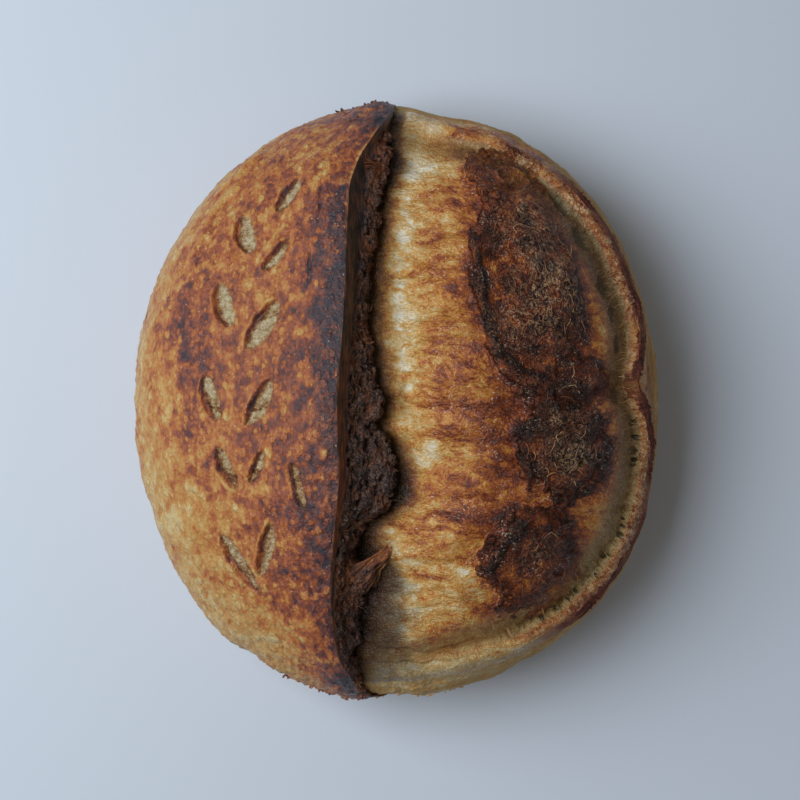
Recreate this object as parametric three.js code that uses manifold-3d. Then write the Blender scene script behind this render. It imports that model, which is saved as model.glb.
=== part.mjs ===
// A round country sourdough loaf, slashed once off centre and scored with leaf cuts, as one closed solid.
// Millimetres, +Z up. The origin is the middle of the flat base. +Y runs along the slash, from the front end
// of the loaf to the back end, and +X points from the lifted ear across the open bloom to the low rim.
//
// The skin is a globe whose poles are the front and back ends. Each row of the globe is a section at one y:
// it runs from the middle of the base up the left flank, over the scored crust to the lip of the ear, down
// the torn flesh under the ear into the cleft, over the bloom and the rim, and down the right flank.
import * as THREE from "three";
import { ParametricGeometry } from "three/addons/geometries/ParametricGeometry.js";
import { mergeVertices } from "three/addons/utils/BufferGeometryUtils.js";
import Module from "manifold-3d";

const { smoothstep, clamp, degToRad } = THREE.MathUtils;

// The loaf as a whole.
const WIDTH = 207;
const LENGTH = 234;
const BELLY_HEIGHT = 34; // height of the widest line
const UNDERSIDE_DEPTH = 62; // how deep the underside would bulge if the oven floor did not cut it flat
const CRUST_RISE = 60; // crown of the scored crust above the belly
const BLOOM_RISE = 63; // crown of the open side above the belly
const FLANK_ROUNDNESS = 2.3; // 2 is an ellipse, more is boxier
const UNEVENNESS = 0.8; // long soft waves of the skin

// Places where the outline swells past its ellipse: direction in degrees from +X, spread, and share.
const SWELLS = [
  { toward: -128, spread: 24, share: 0.034 },
  { toward: -36, spread: 20, share: 0.036 },
  { toward: 42, spread: 16, share: 0.016 },
];

// The ear: x of its lip as a share of the half width there, front to back, and how the crust curls up to it.
const LIP_SHARE = [
  [-117, -0.48], [-110, -0.455], [-101, -0.38], [-74, -0.3], [-50, -0.245], [-30, -0.21],
  [0, -0.208], [36, -0.19], [72, -0.2], [92, -0.18], [104, -0.11], [117, -0.08],
];
const EAR_LIFT = 10;
const EAR_CURL = 26; // distance over which the crust curls up to the lip

// The torn flesh under the ear: how far its ragged shelf stands out past the lip, front to back.
const SHELF_REACH = [
  [-117, 0], [-106, 2], [-94, 8], [-72, 13], [-54, 11], [-38, 17], [-18, 20], [2, 16],
  [30, 8], [60, 10], [88, 12], [103, 3], [117, 0],
];
const RAGGEDNESS = 1.1;

// Section of the ear from the lip down to the cleft: [share of the shelf's reach, mm outward, mm down].
const EAR_SECTION = [
  [0, 0.6, 1.2], [0, 0.3, 2.6], [0.05, 1.2, 5.2], [0.25, 1.2, 8], [0.5, 0.6, 10.6], [0.8, 0, 12.6],
  [1, 0, 15.2], [0.93, -0.6, 18.6], [0.85, -1.6, 22.4], [0.83, -1.4, 25.4],
];

// The bloom, where the loaf burst open: it rises out of the cleft and falls to the rim.
const BLOOM_RUN = 46; // distance over which it rises
const RIM_INSET = 0.045; // how far the rim lies inside the outline, as a share of the radius
const RIM_FRONT_INSET = 0.055; // how much further it lies in at the front
const RIM_FRONT = { toward: -78, spread: 18 };
const RIM_HEIGHT = 2.6;
const RIM_WIDTH = 3.8;
const GROOVE_DEPTH = 6.5;
const GROOVE_OFFSET = 6.5; // from the rim to the bottom of the groove beside it
const GROOVE_WIDTH = 6;

// Dark early-baked swells on the bloom: centre, half sizes, turn in degrees, and height.
const BLOOM_SWELLS = [
  { x: 46, y: 41, across: 23, along: 48, turn: 14, height: 3.2 },
  { x: 60, y: -14, across: 19, along: 21, turn: 8, height: 2.6 },
  { x: 50, y: -58, across: 23, along: 24, turn: -20, height: 3 },
];

// Leaf cuts in the crust: centre, length, width, and lean from +Y towards +X in degrees.
const LEAF_CUTS = [
  { x: -40.5, y: 77, length: 16, width: 4.6, lean: 34 },
  { x: -55.5, y: 62.5, length: 16, width: 6.8, lean: -12 },
  { x: -28.5, y: 73.5, length: 18.5, width: 1.8, lean: 3 },
  { x: -44.5, y: 54, length: 15.5, width: 3.8, lean: 38 },
  { x: -32, y: 49, length: 16.5, width: 1.8, lean: 2 },
  { x: -63.5, y: 36, length: 18.5, width: 7, lean: -16 },
  { x: -49.5, y: 28, length: 23, width: 7.2, lean: 32 },
  { x: -68.5, y: 1, length: 18.5, width: 6.4, lean: -18 },
  { x: -50.5, y: -1, length: 20.5, width: 6, lean: 27 },
  { x: -62.5, y: -25, length: 18.5, width: 5, lean: -26 },
  { x: -51.5, y: -24.5, length: 13.5, width: 3.4, lean: 22 },
  { x: -35.5, y: -31, length: 19, width: 3.4, lean: -16 },
  { x: -48, y: -55, length: 21.5, width: 5.2, lean: 12 },
  { x: -57.5, y: -60, length: 26.5, width: 5.4, lean: -36 },
  { x: -33, y: -66, length: 16.5, width: 2, lean: -23 },
];
const LEAF_DEPTH = 2.6;
const LEAF_SIDES = 8;
const LEAF_STEPS = 6;

const HALF_WIDTH = WIDTH / 2;
const HALF_LENGTH = LENGTH / 2;
const ROWS = 60;
const RIM_ROUNDS = 5;
const RIM_END_SHARE = 0.6; // of the half width

// Value at y of a line given as [y, value] stations, front to back, on one smooth curve.
function along(stations, y) {
  const last = stations.length - 2;
  const i = clamp(stations.findIndex(([at]) => at > y) - 1, 0, last);
  const k = y >= stations[last + 1][0] ? last : i;
  const slope = (j) => {
    const a = stations[Math.max(j - 1, 0)];
    const b = stations[Math.min(j + 1, last + 1)];
    return (b[1] - a[1]) / (b[0] - a[0]);
  };
  const [y0, v0] = stations[k];
  const [y1, v1] = stations[k + 1];
  const step = y1 - y0;
  const t = clamp((y - y0) / step, 0, 1);
  const bend = (t - 1) * (v0 * (t - 1) * (1 + 2 * t) + slope(k) * step * t * (t - 1));
  return bend + t * t * (v1 * (3 - 2 * t) + slope(k + 1) * step * (t - 1));
}

// Share of the way from the middle of the plan (0) to the outline (1).
const planShare = (x, y) => Math.min(Math.hypot(x / HALF_WIDTH, y / HALF_LENGTH), 1);

const planAngle = (x, y) => Math.atan2(y / HALF_LENGTH, x / HALF_WIDTH);

// A bell of height 1 round a direction, in degrees.
function bellToward(angle, { toward, spread }) {
  const turn = THREE.MathUtils.euclideanModulo(THREE.MathUtils.radToDeg(angle) - toward + 180, 360) - 180;
  return Math.exp(-((turn / spread) ** 2));
}

// Height share of a rounded flank: 1 over the middle and 0 at the outline.
const flank = (x, y) => (1 - planShare(x, y) ** FLANK_ROUNDNESS) ** (1 / FLANK_ROUNDNESS);

const waves = (x, y) =>
  UNEVENNESS * (Math.sin(x / 13 + y / 29) + Math.sin(y / 17 - x / 31 + 1.7)) * flank(x, y);

const halfWidthAt = (y) => HALF_WIDTH * Math.sqrt(Math.max(1 - (y / HALF_LENGTH) ** 2, 0));

const lipXAt = (y) => halfWidthAt(y) * along(LIP_SHARE, y);

const undersideZ = (x, y) => Math.max(BELLY_HEIGHT - UNDERSIDE_DEPTH * flank(x, y), 0);

function crustZ(x, y) {
  const toLip = lipXAt(y) - x;
  const lift = EAR_LIFT * Math.exp(-((toLip / EAR_CURL) ** 2));
  return BELLY_HEIGHT + (CRUST_RISE + lift) * flank(x, y) + waves(x, y);
}

// Height share that a swell on the bloom adds: steep on its ear side, soft on the other.
function swellShare(x, y, { x: cx, y: cy, across, along: length, turn }) {
  const a = degToRad(turn);
  const u = ((x - cx) * Math.cos(a) + (y - cy) * Math.sin(a)) / across;
  const v = ((y - cy) * Math.cos(a) - (x - cx) * Math.sin(a)) / length;
  return smoothstep(1.1 - Math.hypot(u < 0 ? u : u * 0.9, v), 0, u < 0 ? 0.3 : 0.8);
}

// Plan share of the rim's crest past the point, seen from the middle.
const rimShare = (x, y) => 1 - RIM_INSET - RIM_FRONT_INSET * bellToward(planAngle(x, y), RIM_FRONT);

// Distance inside the rim, in mm: 0 on its crest and negative outside it.
const insideRim = (x, y) => (rimShare(x, y) - planShare(x, y)) * HALF_WIDTH;

// x at which a section crosses the rim, or its last column on the bloom where the rim runs across in front.
function rimXAt(y) {
  const half = halfWidthAt(y);
  let x = half;
  for (let round = 0; round < RIM_ROUNDS; round += 1) {
    const crossing = HALF_WIDTH * Math.sqrt(Math.max(rimShare(x, y) ** 2 - (y / HALF_LENGTH) ** 2, 0));
    x = Math.max(crossing, half * RIM_END_SHARE);
  }
  return x;
}

// The open side of the loaf without the dip beside the ear.
function openSideZ(x, y) {
  const inside = insideRim(x, y);
  const dip = GROOVE_DEPTH * Math.exp(-(((inside - GROOVE_OFFSET) / GROOVE_WIDTH) ** 2));
  const groove = dip * smoothstep(inside, 0, GROOVE_OFFSET);
  const rim = RIM_HEIGHT * Math.exp(-((inside / RIM_WIDTH) ** 2));
  const swells = BLOOM_SWELLS.reduce((sum, s) => sum + s.height * swellShare(x, y, s), 0);
  const high = 1 - smoothstep(planShare(x, y), 0.9, 1);
  return BELLY_HEIGHT + BLOOM_RISE * flank(x, y) + waves(x, y) + high * (rim + swells - groove);
}

// One section of the loaf at y, as bands: each has a number of steps and gives the point at share t of itself.
function sectionBands(y) {
  const half = halfWidthAt(y);
  const lipX = lipXAt(y);
  const lipZ = crustZ(lipX, y);
  const tall = (lipZ - BELLY_HEIGHT) / (CRUST_RISE + EAR_LIFT);
  const reach = along(SHELF_REACH, y) + tall * RAGGEDNESS * (Math.sin(y / 2.9) + Math.sin(y / 4.7));
  const ear = EAR_SECTION.map(([share, out, down]) => [lipX + share * reach + out * tall, lipZ - down * tall]);
  const [cleftX, cleftZ] = ear.at(-1);
  const sink = openSideZ(cleftX, y) - cleftZ;
  const rimX = rimXAt(y);
  const run = Math.min(BLOOM_RUN, rimX - cleftX);
  const bloomPoint = (t) => {
    const x = cleftX + (rimX - cleftX) * t;
    const risen = run > 0 ? Math.sin((Math.PI / 2) * clamp((x - cleftX) / run, 0, 1)) : 1;
    return [x, openSideZ(x, y) - sink * (1 - risen)];
  };
  const onArc = (zAt, from, to, side) => (t) => {
    const x = side * half * Math.cos(from + (to - from) * t);
    return [x, zAt(x, y)];
  };
  const quarter = Math.PI / 2;
  const lipTurn = Math.acos(-along(LIP_SHARE, y));
  const rimTurn = half > 0 ? Math.acos(rimX / half) : 0;
  return [
    { steps: 9, at: onArc(undersideZ, quarter, 0, -1) },
    { steps: 24, at: onArc(crustZ, 0, lipTurn, -1) },
    { steps: ear.length, at: (t) => ear[Math.round(t * ear.length) - 1] },
    { steps: 24, at: bloomPoint },
    { steps: 6, at: onArc(openSideZ, rimTurn, 0, 1) },
    { steps: 9, at: onArc(undersideZ, 0, quarter, 1) },
  ];
}

// The swells of the outline carry the flanks with them and leave the middle alone.
function swollenPoint(x, y, z) {
  const swell = SWELLS.reduce((sum, s) => sum + s.share * bellToward(planAngle(x, y), s), 0);
  const stretch = 1 + swell * planShare(x, y) ** 3;
  return new THREE.Vector3(x * stretch, y * stretch, z);
}

function sectionPoints(y) {
  const points = [swollenPoint(0, y, undersideZ(0, y))];
  for (const { steps, at } of sectionBands(y)) {
    for (let step = 1; step <= steps; step += 1) {
      const [x, z] = at(step / steps);
      points.push(swollenPoint(x, y, z));
    }
  }
  return points;
}

const sections = Array.from({ length: ROWS + 1 }, (_, row) =>
  sectionPoints(-HALF_LENGTH * Math.cos((Math.PI * row) / ROWS)),
);
const COLUMNS = sections[0].length - 1;

const skinPoint = (u, v, target) => target.copy(sections[Math.round(v * ROWS)][Math.round(u * COLUMNS)]);

// The same surface as one closed mesh: shared vertices, and no faces without area at the poles.
function closedSurface(geometry) {
  geometry.deleteAttribute("normal");
  geometry.deleteAttribute("uv");
  const merged = mergeVertices(geometry, 1e-3);
  const kept = [];
  for (let i = 0; i < merged.index.count; i += 3) {
    const face = [0, 1, 2].map((k) => merged.index.getX(i + k));
    if (new Set(face).size === 3) kept.push(...face);
  }
  return merged.setIndex(kept);
}

const wasm = await Module();
wasm.setup();

function solidFrom(geometry) {
  const { attributes, index } = geometry;
  const mesh = { numProp: 3, vertProperties: attributes.position.array, triVerts: new Uint32Array(index.array) };
  return new wasm.Manifold(new wasm.Mesh(mesh));
}

function geometryFrom(solid) {
  const { vertProperties, triVerts } = solid.getMesh();
  const geometry = new THREE.BufferGeometry();
  geometry.setAttribute("position", new THREE.BufferAttribute(vertProperties, 3));
  geometry.setIndex(new THREE.BufferAttribute(triVerts, 1));
  return geometry;
}

// A spindle with pointed ends, laid on the crust at a leaf cut with its long axis along the leaf.
function leafCutter({ x, y, length, width, lean }) {
  const profile = [];
  for (let i = 0; i <= LEAF_STEPS; i += 1) {
    const t = (2 * i) / LEAF_STEPS - 1;
    profile.push(new THREE.Vector2(Math.max(1 - t * t, 0), (t * length) / 2));
  }
  const step = 1;
  const slopeX = (crustZ(x + step, y) - crustZ(x - step, y)) / (2 * step);
  const slopeY = (crustZ(x, y + step) - crustZ(x, y - step)) / (2 * step);
  const up = new THREE.Vector3(-slopeX, -slopeY, 1).normalize();
  const leaf = new THREE.Vector3(Math.sin(degToRad(lean)), Math.cos(degToRad(lean)), 0);
  const across = leaf.clone().cross(up).normalize();
  const place = new THREE.Matrix4().makeBasis(across, up.clone().cross(across), up);
  place.setPosition(x, y, crustZ(x, y));
  const spindle = new THREE.LatheGeometry(profile, LEAF_SIDES).scale(width / 2, 1, LEAF_DEPTH);
  return solidFrom(closedSurface(spindle.applyMatrix4(place)));
}

const skin = closedSurface(new ParametricGeometry(skinPoint, COLUMNS, ROWS));
let loafSolid = solidFrom(skin);
for (const cut of LEAF_CUTS) loafSolid = loafSolid.subtract(leafCutter(cut));

const crust = new THREE.MeshStandardMaterial({ name: "crust", color: 0xa8662f, roughness: 0.75, metalness: 0 });
const loaf = new THREE.Mesh(geometryFrom(loafSolid), crust);
loaf.name = "loaf";

// The swells pull the middle of the loaf a little off the pole line: put it back over the origin.
loaf.geometry.computeBoundingBox();
const middle = loaf.geometry.boundingBox.getCenter(new THREE.Vector3());
loaf.geometry.translate(-middle.x, -middle.y, 0);

const group = new THREE.Group();
group.add(loaf);

export default group;
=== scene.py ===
# A country sourdough loaf, seen from straight above: scored crust on the left, the torn ear, the open bloom
# and its rim on the right. Shapes are worked out in millimetres, +Z up, and become metres when a mesh is made.
import math

import bpy
import numpy as np
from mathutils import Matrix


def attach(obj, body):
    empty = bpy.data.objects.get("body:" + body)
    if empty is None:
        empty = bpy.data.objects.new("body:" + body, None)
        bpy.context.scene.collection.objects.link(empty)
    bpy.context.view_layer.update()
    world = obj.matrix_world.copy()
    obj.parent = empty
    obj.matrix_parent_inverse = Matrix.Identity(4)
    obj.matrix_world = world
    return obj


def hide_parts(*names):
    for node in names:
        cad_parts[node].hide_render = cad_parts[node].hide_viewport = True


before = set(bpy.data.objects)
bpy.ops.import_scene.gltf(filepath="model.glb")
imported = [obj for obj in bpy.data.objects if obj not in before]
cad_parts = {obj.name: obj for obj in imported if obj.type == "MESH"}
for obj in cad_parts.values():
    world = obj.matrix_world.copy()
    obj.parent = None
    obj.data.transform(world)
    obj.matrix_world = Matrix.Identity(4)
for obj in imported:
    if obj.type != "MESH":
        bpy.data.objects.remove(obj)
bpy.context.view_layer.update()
mm = 0.001
print("loaf: frame loaded")


# integer hash of a lattice corner
def latticeHash(ix, iy, iz, seed):
    h = (ix * 374761393 + iy * 668265263 + iz * 1440662683 + seed * 974634777) & 0xFFFFFFFF
    h = ((h ^ (h >> 13)) * 1274126177) & 0xFFFFFFFF
    return h ^ (h >> 16)


directions = np.random.default_rng(5).normal(size=(1024, 3))
directions /= np.linalg.norm(directions, axis=1)[:, None]


def noise(x, y, z=0.0, seed=0):
    x, y, z = np.broadcast_arrays(x, y, z)
    corner = [np.floor(c).astype(np.int64) for c in (x, y, z)]
    part = [c - k for c, k in zip((x, y, z), corner)]
    ease = [f * f * f * (f * (f * 6 - 15) + 10) for f in part]
    total = np.zeros(x.shape)
    for dx in (0, 1):
        for dy in (0, 1):
            for dz in (0, 1):
                way = directions[latticeHash(corner[0] + dx, corner[1] + dy, corner[2] + dz, seed) & 1023]
                dot = way[..., 0] * (part[0] - dx) + way[..., 1] * (part[1] - dy) + way[..., 2] * (part[2] - dz)
                weight = 1.0
                for e, d in zip(ease, (dx, dy, dz)):
                    weight = weight * (e if d else 1 - e)
                total += dot * weight
    return total * 1.7


def layeredNoise(x, y, z=0.0, seed=0, layers=4):
    total, strength = 0.0, 1.0
    for layer in range(layers):
        k = 2.03 ** layer
        total = total + strength * noise(x * k, y * k, z * k, seed + layer)
        strength *= 0.55
    return total / 1.6


# distance to the nearest scattered point, and that point's own random number
def spots(x, y, z, seed):
    x, y, z = np.broadcast_arrays(x, y, z)
    cell = [np.floor(c).astype(np.int64) for c in (x, y, z)]
    best = np.full(x.shape, 9.0)
    own = np.zeros(x.shape)
    for dx in (-1, 0, 1):
        for dy in (-1, 0, 1):
            for dz in (-1, 0, 1):
                at = [c + d for c, d in zip(cell, (dx, dy, dz))]
                h = latticeHash(*at, seed)
                spotX = at[0] + (h & 255) / 255
                spotY = at[1] + ((h >> 8) & 255) / 255
                spotZ = at[2] + ((h >> 16) & 255) / 255
                far = np.sqrt((spotX - x) ** 2 + (spotY - y) ** 2 + (spotZ - z) ** 2)
                nearer = far < best
                best = np.where(nearer, far, best)
                own = np.where(nearer, (latticeHash(*at, seed + 91) & 1023) / 1023, own)
    return best, own


def ramp(value, low, high):
    t = np.clip((value - low) / (high - low), 0, 1)
    return t * t * (3 - 2 * t)


def bell(value, centre, spread):
    return np.exp(-(((value - centre) / spread) ** 2))


# value at y of a line given as (y, value) stations, front to back, on one smooth curve
def along(stations, y):
    ys, vs = np.array(stations, float).T
    slope = np.empty(len(ys))
    slope[1:-1] = (vs[2:] - vs[:-2]) / (ys[2:] - ys[:-2])
    slope[0] = (vs[1] - vs[0]) / (ys[1] - ys[0])
    slope[-1] = (vs[-1] - vs[-2]) / (ys[-1] - ys[-2])
    y = np.clip(y, ys[0], ys[-1])
    k = np.clip(np.searchsorted(ys, y, side="right") - 1, 0, len(ys) - 2)
    step = ys[k + 1] - ys[k]
    t = (y - ys[k]) / step
    low = vs[k] * (1 + 2 * t) * (1 - t) ** 2 + slope[k] * step * t * (1 - t) ** 2
    return low + vs[k + 1] * t * t * (3 - 2 * t) + slope[k + 1] * step * t * t * (t - 1)


# lengths here and below are in mm, and stations run from front to back
loaf = {
    "halfWidth": 103.5,
    "halfLength": 117.0,
    "bellyHeight": 34.0,
    "undersideDepth": 62.0,
    "crustRise": 60.0,
    "bloomRise": 63.0,
    "roundness": 2.3,
    "unevenness": 0.8,
    "mmPerDegree": 1.86,  # round the outline
    # direction in degrees, spread, share by which the outline swells there
    "swells": [(-128, 24, 0.034), (-36, 20, 0.036), (42, 16, 0.016), (-121, 6, -0.014), (-101, 5, 0.01),
               (-90, 4, -0.012), (-24, 12, 0.008), (79, 8, -0.022), (94, 3, 0.012)],
    # direction, spread, and how ragged the outline is there
    "ragged": [(94, 5, 1.0), (-112, 16, 1.0), (-88, 9, 0.7), (70, 12, 0.5)],
    "shellDepth": 0.1,  # share of the way to the loaf's spine at which a piece's inner wall stands
}

ear = {
    # y, and x of the lip as a share of the half width there
    "lip": [(-117, -0.5), (-112, -0.45), (-106, -0.375), (-97, -0.36), (-74, -0.3), (-50, -0.245), (-30, -0.21),
            (0, -0.208), (36, -0.192), (60, -0.206), (72, -0.218), (82, -0.226), (92, -0.205), (100, -0.155),
            (108, -0.085), (117, -0.07)],
    "lift": 10.0,
    "curl": 26.0,
    # y, and how far the torn flesh stands out past the lip
    "reach": [(-117, 0), (-109, 0.4), (-103, 1.6), (-97, 4.2), (-90, 7.2), (-82, 8.2), (-76, 9.5), (-70, 12.5),
              (-65, 12), (-59.5, 8.5), (-53, 7.5), (-47, 9), (-42.5, 15), (-37, 19.5), (-26, 21), (-18, 19.5),
              (-14, 17.5), (-11.5, 14.6), (-9, 13.8), (-6, 15.4), (-2.5, 16.8), (0, 16.2), (11, 12.5),
              (22.5, 9.6), (33.5, 7.6), (45, 8.6), (56, 9.8), (66, 10.4), (75, 11.3), (84, 11.8), (89, 12.4),
              (95, 8), (104, 2.2), (110, 0.6), (117, 0)],
    "ragged": 2.2,
    # y, and share of the section that is a smooth burnt strip
    "strip": [(-117, 0.12), (-60, 0.18), (-10, 0.26), (25, 0.33), (50, 0.42), (90, 0.42), (117, 0.3)],
    # the section from the lip to the cleft: share of the reach, mm outward, mm down
    "section": [(0, 0, 0), (0, 0.5, 0.3), (0, 1.3, 1.7), (0, 2.3, 3.6), (0.02, 3.2, 5.6), (0.12, 2.7, 7.4),
                (0.3, 2.0, 9.2), (0.52, 1.2, 11.0), (0.78, 0.5, 12.6), (0.95, 0.1, 14.4), (1, 0, 16.4),
                (0.95, -0.4, 18.6), (0.88, -1.2, 20.8), (0.84, -1.6, 23.2), (0.83, -1.5, 25.4)],
}

bloom = {
    "run": 46.0,
    "rimInset": 0.052,
    "rimFrontInset": 0.05,
    "rimFront": (-78, 20),
    # direction in degrees, spread, share by which the rim stands further out there
    "rimShifts": [(-24, 20, 0.026), (4.5, 8, -0.044)],
    "rimHeight": 2.4,
    "rimWidth": 2.6,
    "grooveDepth": 5.4,
    "grooveOffset": 7.2,
    "grooveWidth": 5.4,
    # the dark early-baked islands: centre, half sizes, turn in degrees, height
    "islands": [(49.5, 40, 20, 46, 12, 3.4), (41, 87, 15, 10, -20, 1.6), (64, -17, 17, 21, 4, 2.6),
                (51.5, -60, 18, 21, -20, 3.0), (69, 7, 11, 10, 0, 2.2)],
}


def planShare(x, y):
    return np.minimum(np.hypot(x / loaf["halfWidth"], y / loaf["halfLength"]), 1)


def planAngle(x, y):
    return np.degrees(np.arctan2(y / loaf["halfLength"], x / loaf["halfWidth"]))


def bellToward(angle, toward, spread):
    return bell((angle - toward + 180) % 360 - 180, 0, spread)


def flank(x, y):
    r = loaf["roundness"]
    return np.maximum(1 - planShare(x, y) ** r, 0) ** (1 / r)


def waves(x, y):
    return loaf["unevenness"] * (np.sin(x / 13 + y / 29) + np.sin(y / 17 - x / 31 + 1.7)) * flank(x, y)


def halfWidthAt(y):
    return loaf["halfWidth"] * np.sqrt(np.maximum(1 - (y / loaf["halfLength"]) ** 2, 0))


def lipXAt(y):
    return halfWidthAt(y) * along(ear["lip"], y)


def undersideZ(x, y):
    return np.maximum(loaf["bellyHeight"] - loaf["undersideDepth"] * flank(x, y), 0)


def crustZ(x, y):
    lift = ear["lift"] * bell(lipXAt(y) - x, 0, ear["curl"])
    return loaf["bellyHeight"] + (loaf["crustRise"] + lift) * flank(x, y) + waves(x, y)


# a point seen from a centre, along and across axes that are turned by so many degrees
def turnedAbout(x, y, centreX, centreY, degrees):
    a = math.radians(degrees)
    dx, dy = x - centreX, y - centreY
    return dx * math.cos(a) + dy * math.sin(a), dy * math.cos(a) - dx * math.sin(a)


# place in an island: 1 at its outline and 0 at its middle, and which side of it
def islandPlace(x, y, island):
    cx, cy, across, length, turn, _ = island
    u, v = turnedAbout(x, y, cx, cy, turn)
    u, v = u / across, v / length  # 1 at the ends of the oval
    wander = 0.24 * noise(x / 13, y / 13, seed=31) + 0.16 * noise(x / 4.5, y / 4.5, seed=32)
    wander = wander + 0.1 * noise(x / 1.8, y / 1.8, seed=33)
    return np.hypot(np.where(u < 0, u, u * 0.92), v) + wander * np.minimum(1, 20 / length), u


def islandHeight(x, y):
    total = 0.0
    for island in bloom["islands"]:
        place, u = islandPlace(x, y, island)
        total = np.maximum(total, island[5] * ramp(1.06 - place, 0, 0.16 + 0.6 * ramp(u, -0.5, 0.5)))
    return total


def rimShare(x, y):
    angle = planAngle(x, y)
    inset = bloom["rimInset"] + bloom["rimFrontInset"] * bellToward(angle, *bloom["rimFront"])
    return 1 - inset + sum(further * bellToward(angle, toward, wide) for toward, wide, further in bloom["rimShifts"])


# distance inside the rim in mm: 0 on its crest and negative outside it
def insideRim(x, y):
    return (rimShare(x, y) - planShare(x, y)) * loaf["halfWidth"]


def rimXAt(y):
    half = halfWidthAt(y)
    x = half
    for _ in range(6):
        crossing = loaf["halfWidth"] * np.sqrt(np.maximum(rimShare(x, y) ** 2 - (y / loaf["halfLength"]) ** 2, 0))
        x = np.maximum(crossing, half * 0.6)
    return x


def openSideZ(x, y):
    inside = insideRim(x, y)
    dip = bloom["grooveDepth"] * bell(inside, bloom["grooveOffset"], bloom["grooveWidth"])
    groove = dip * ramp(inside, 0, bloom["grooveOffset"]) * (1 - 0.6 * bellToward(planAngle(x, y), -90, 22))
    rim = bloom["rimHeight"] * bell(inside, 0, bloom["rimWidth"])
    high = 1 - ramp(planShare(x, y), 0.9, 1)
    rise = loaf["bloomRise"] * flank(x, y)
    return loaf["bellyHeight"] + rise + waves(x, y) + high * (rim + islandHeight(x, y) - groove)


# shares of a band at which its columns stand, closer where the spacing is small
def spread(count, spacing):
    t = np.linspace(0, 1, 400)
    dense = np.cumsum(1 / np.array([spacing(s) for s in t]))
    dense = (dense - dense[0]) / (dense[-1] - dense[0])
    return np.interp(np.linspace(0, 1, count + 1), dense, t)


def smoothRow(controls, count):
    n = len(controls)
    t = np.linspace(0, n - 1, count + 1)
    k = np.clip(t.astype(int), 0, n - 2)
    f = (t - k)[:, None, None]
    p = np.array(controls)
    a, b, c, d = p[np.maximum(k - 1, 0)], p[k], p[k + 1], p[np.minimum(k + 2, n - 1)]
    return 0.5 * (2 * b + (c - a) * f + (2 * a - 5 * b + 4 * c - d) * f ** 2 + (3 * b - a - 3 * c + d) * f ** 3)


# rows from front to back, and columns in each band, from the left edge of the base over the top and back under
grid = {"rows": 424, "left": 12, "crust": 201, "flesh": 104, "bloom": 200, "side": 58, "right": 22, "base": 16}

halfLength = loaf["halfLength"]
rowShare = np.linspace(0, 1, grid["rows"] + 1)
rowY = halfLength * (0.7 * (2 * rowShare - 1) - 0.3 * np.cos(np.pi * rowShare))
endRows = halfLength - np.array([0.02, 0.09, 0.2])
rowY = np.unique(np.concatenate([rowY, endRows, -endRows]))[:, None]
half = halfWidthAt(rowY)
lipX = lipXAt(rowY)
lipZ = crustZ(lipX, rowY)
tall = (lipZ - loaf["bellyHeight"]) / (loaf["crustRise"] + ear["lift"])
tip = ramp(np.abs(rowY), 92, 110)
lipWander = tall * (0.25 + 0.9 * tip) * (noise(rowY / 3.1, 0.5, seed=3) + 0.7 * noise(rowY / 1.2, 0.5, seed=4))

# left flank and scored crust, from the edge of the base up to the lip
roundness = loaf["roundness"]
baseShare = (1 - (loaf["bellyHeight"] / loaf["undersideDepth"]) ** roundness) ** (1 / roundness)
eta = (rowY / halfLength) ** 2
baseCos = np.sqrt(np.clip((baseShare ** 2 - eta) / np.maximum(1 - eta, 1e-9), 0.15 ** 2, 1))
baseTurn = np.arccos(baseCos)
lipTurn = np.arccos(np.clip(-along(ear["lip"], rowY), -1, 1))
underX = -half * np.cos(baseTurn * (1 - np.linspace(0, 1, grid["left"] + 1)[:-1]))
crustSpacing = spread(grid["crust"] - 1, lambda s: 1.5 if s < 0.16 else 0.75 if s < 0.42 else 0.55)
crustX = -half * np.cos(lipTurn * crustSpacing)

# torn flesh under the ear
evenReach = along(ear["reach"], rowY)
evenCleftX = lipX + ear["section"][-1][0] * evenReach + ear["section"][-1][1] * tall
frayed = (noise(rowY / 5.5, 0.5, seed=11) + 0.7 * noise(rowY / 2.1, 0.5, seed=12)
          + 0.5 * noise(rowY / 0.9, 0.5, seed=13))
reach = np.maximum(evenReach + ear["ragged"] * tall * frayed * ramp(tall, 0.2, 0.6), 0)
controls = [np.hstack([lipX + s * reach + out * tall, lipZ - down * tall]) for s, out, down in ear["section"]]
flesh = smoothRow(controls, grid["flesh"])
fleshX, fleshZ = flesh[..., 0].T, flesh[..., 1].T

# bloom, from the cleft to the groove's far side
rimX = rimXAt(rowY)
cleftX, cleftZ = fleshX[:, -1:], fleshZ[:, -1:]
innerX = np.minimum(rimX - 1.5 * tall, rimX)
bloomX = cleftX + (innerX - cleftX) * np.linspace(0, 1, grid["bloom"] + 1)[1:]
run = np.minimum(bloom["run"], rimX - evenCleftX)
risen = np.sin(np.pi / 2 * np.clip((bloomX - evenCleftX) / np.maximum(run, 1e-6), 0, 1))
bloomZ = openSideZ(bloomX, rowY) - (openSideZ(evenCleftX, rowY) - cleftZ) * (1 - risen)

# rim, right flank and underside
innerTurn = np.arccos(np.clip(innerX / np.maximum(half, 1e-6), 0, 1))
sideSpacing = spread(grid["side"], lambda s: 0.5 if s < 0.55 else 0.8)[1:]
sideX = half * np.cos(innerTurn * (1 - sideSpacing))
downX = half * np.cos(baseTurn * np.linspace(0, 1, grid["right"] + 1)[1:])
acrossX = half * np.cos(baseTurn) * (1 - 2 * np.linspace(0, 1, grid["base"] + 1)[1:])

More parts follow.
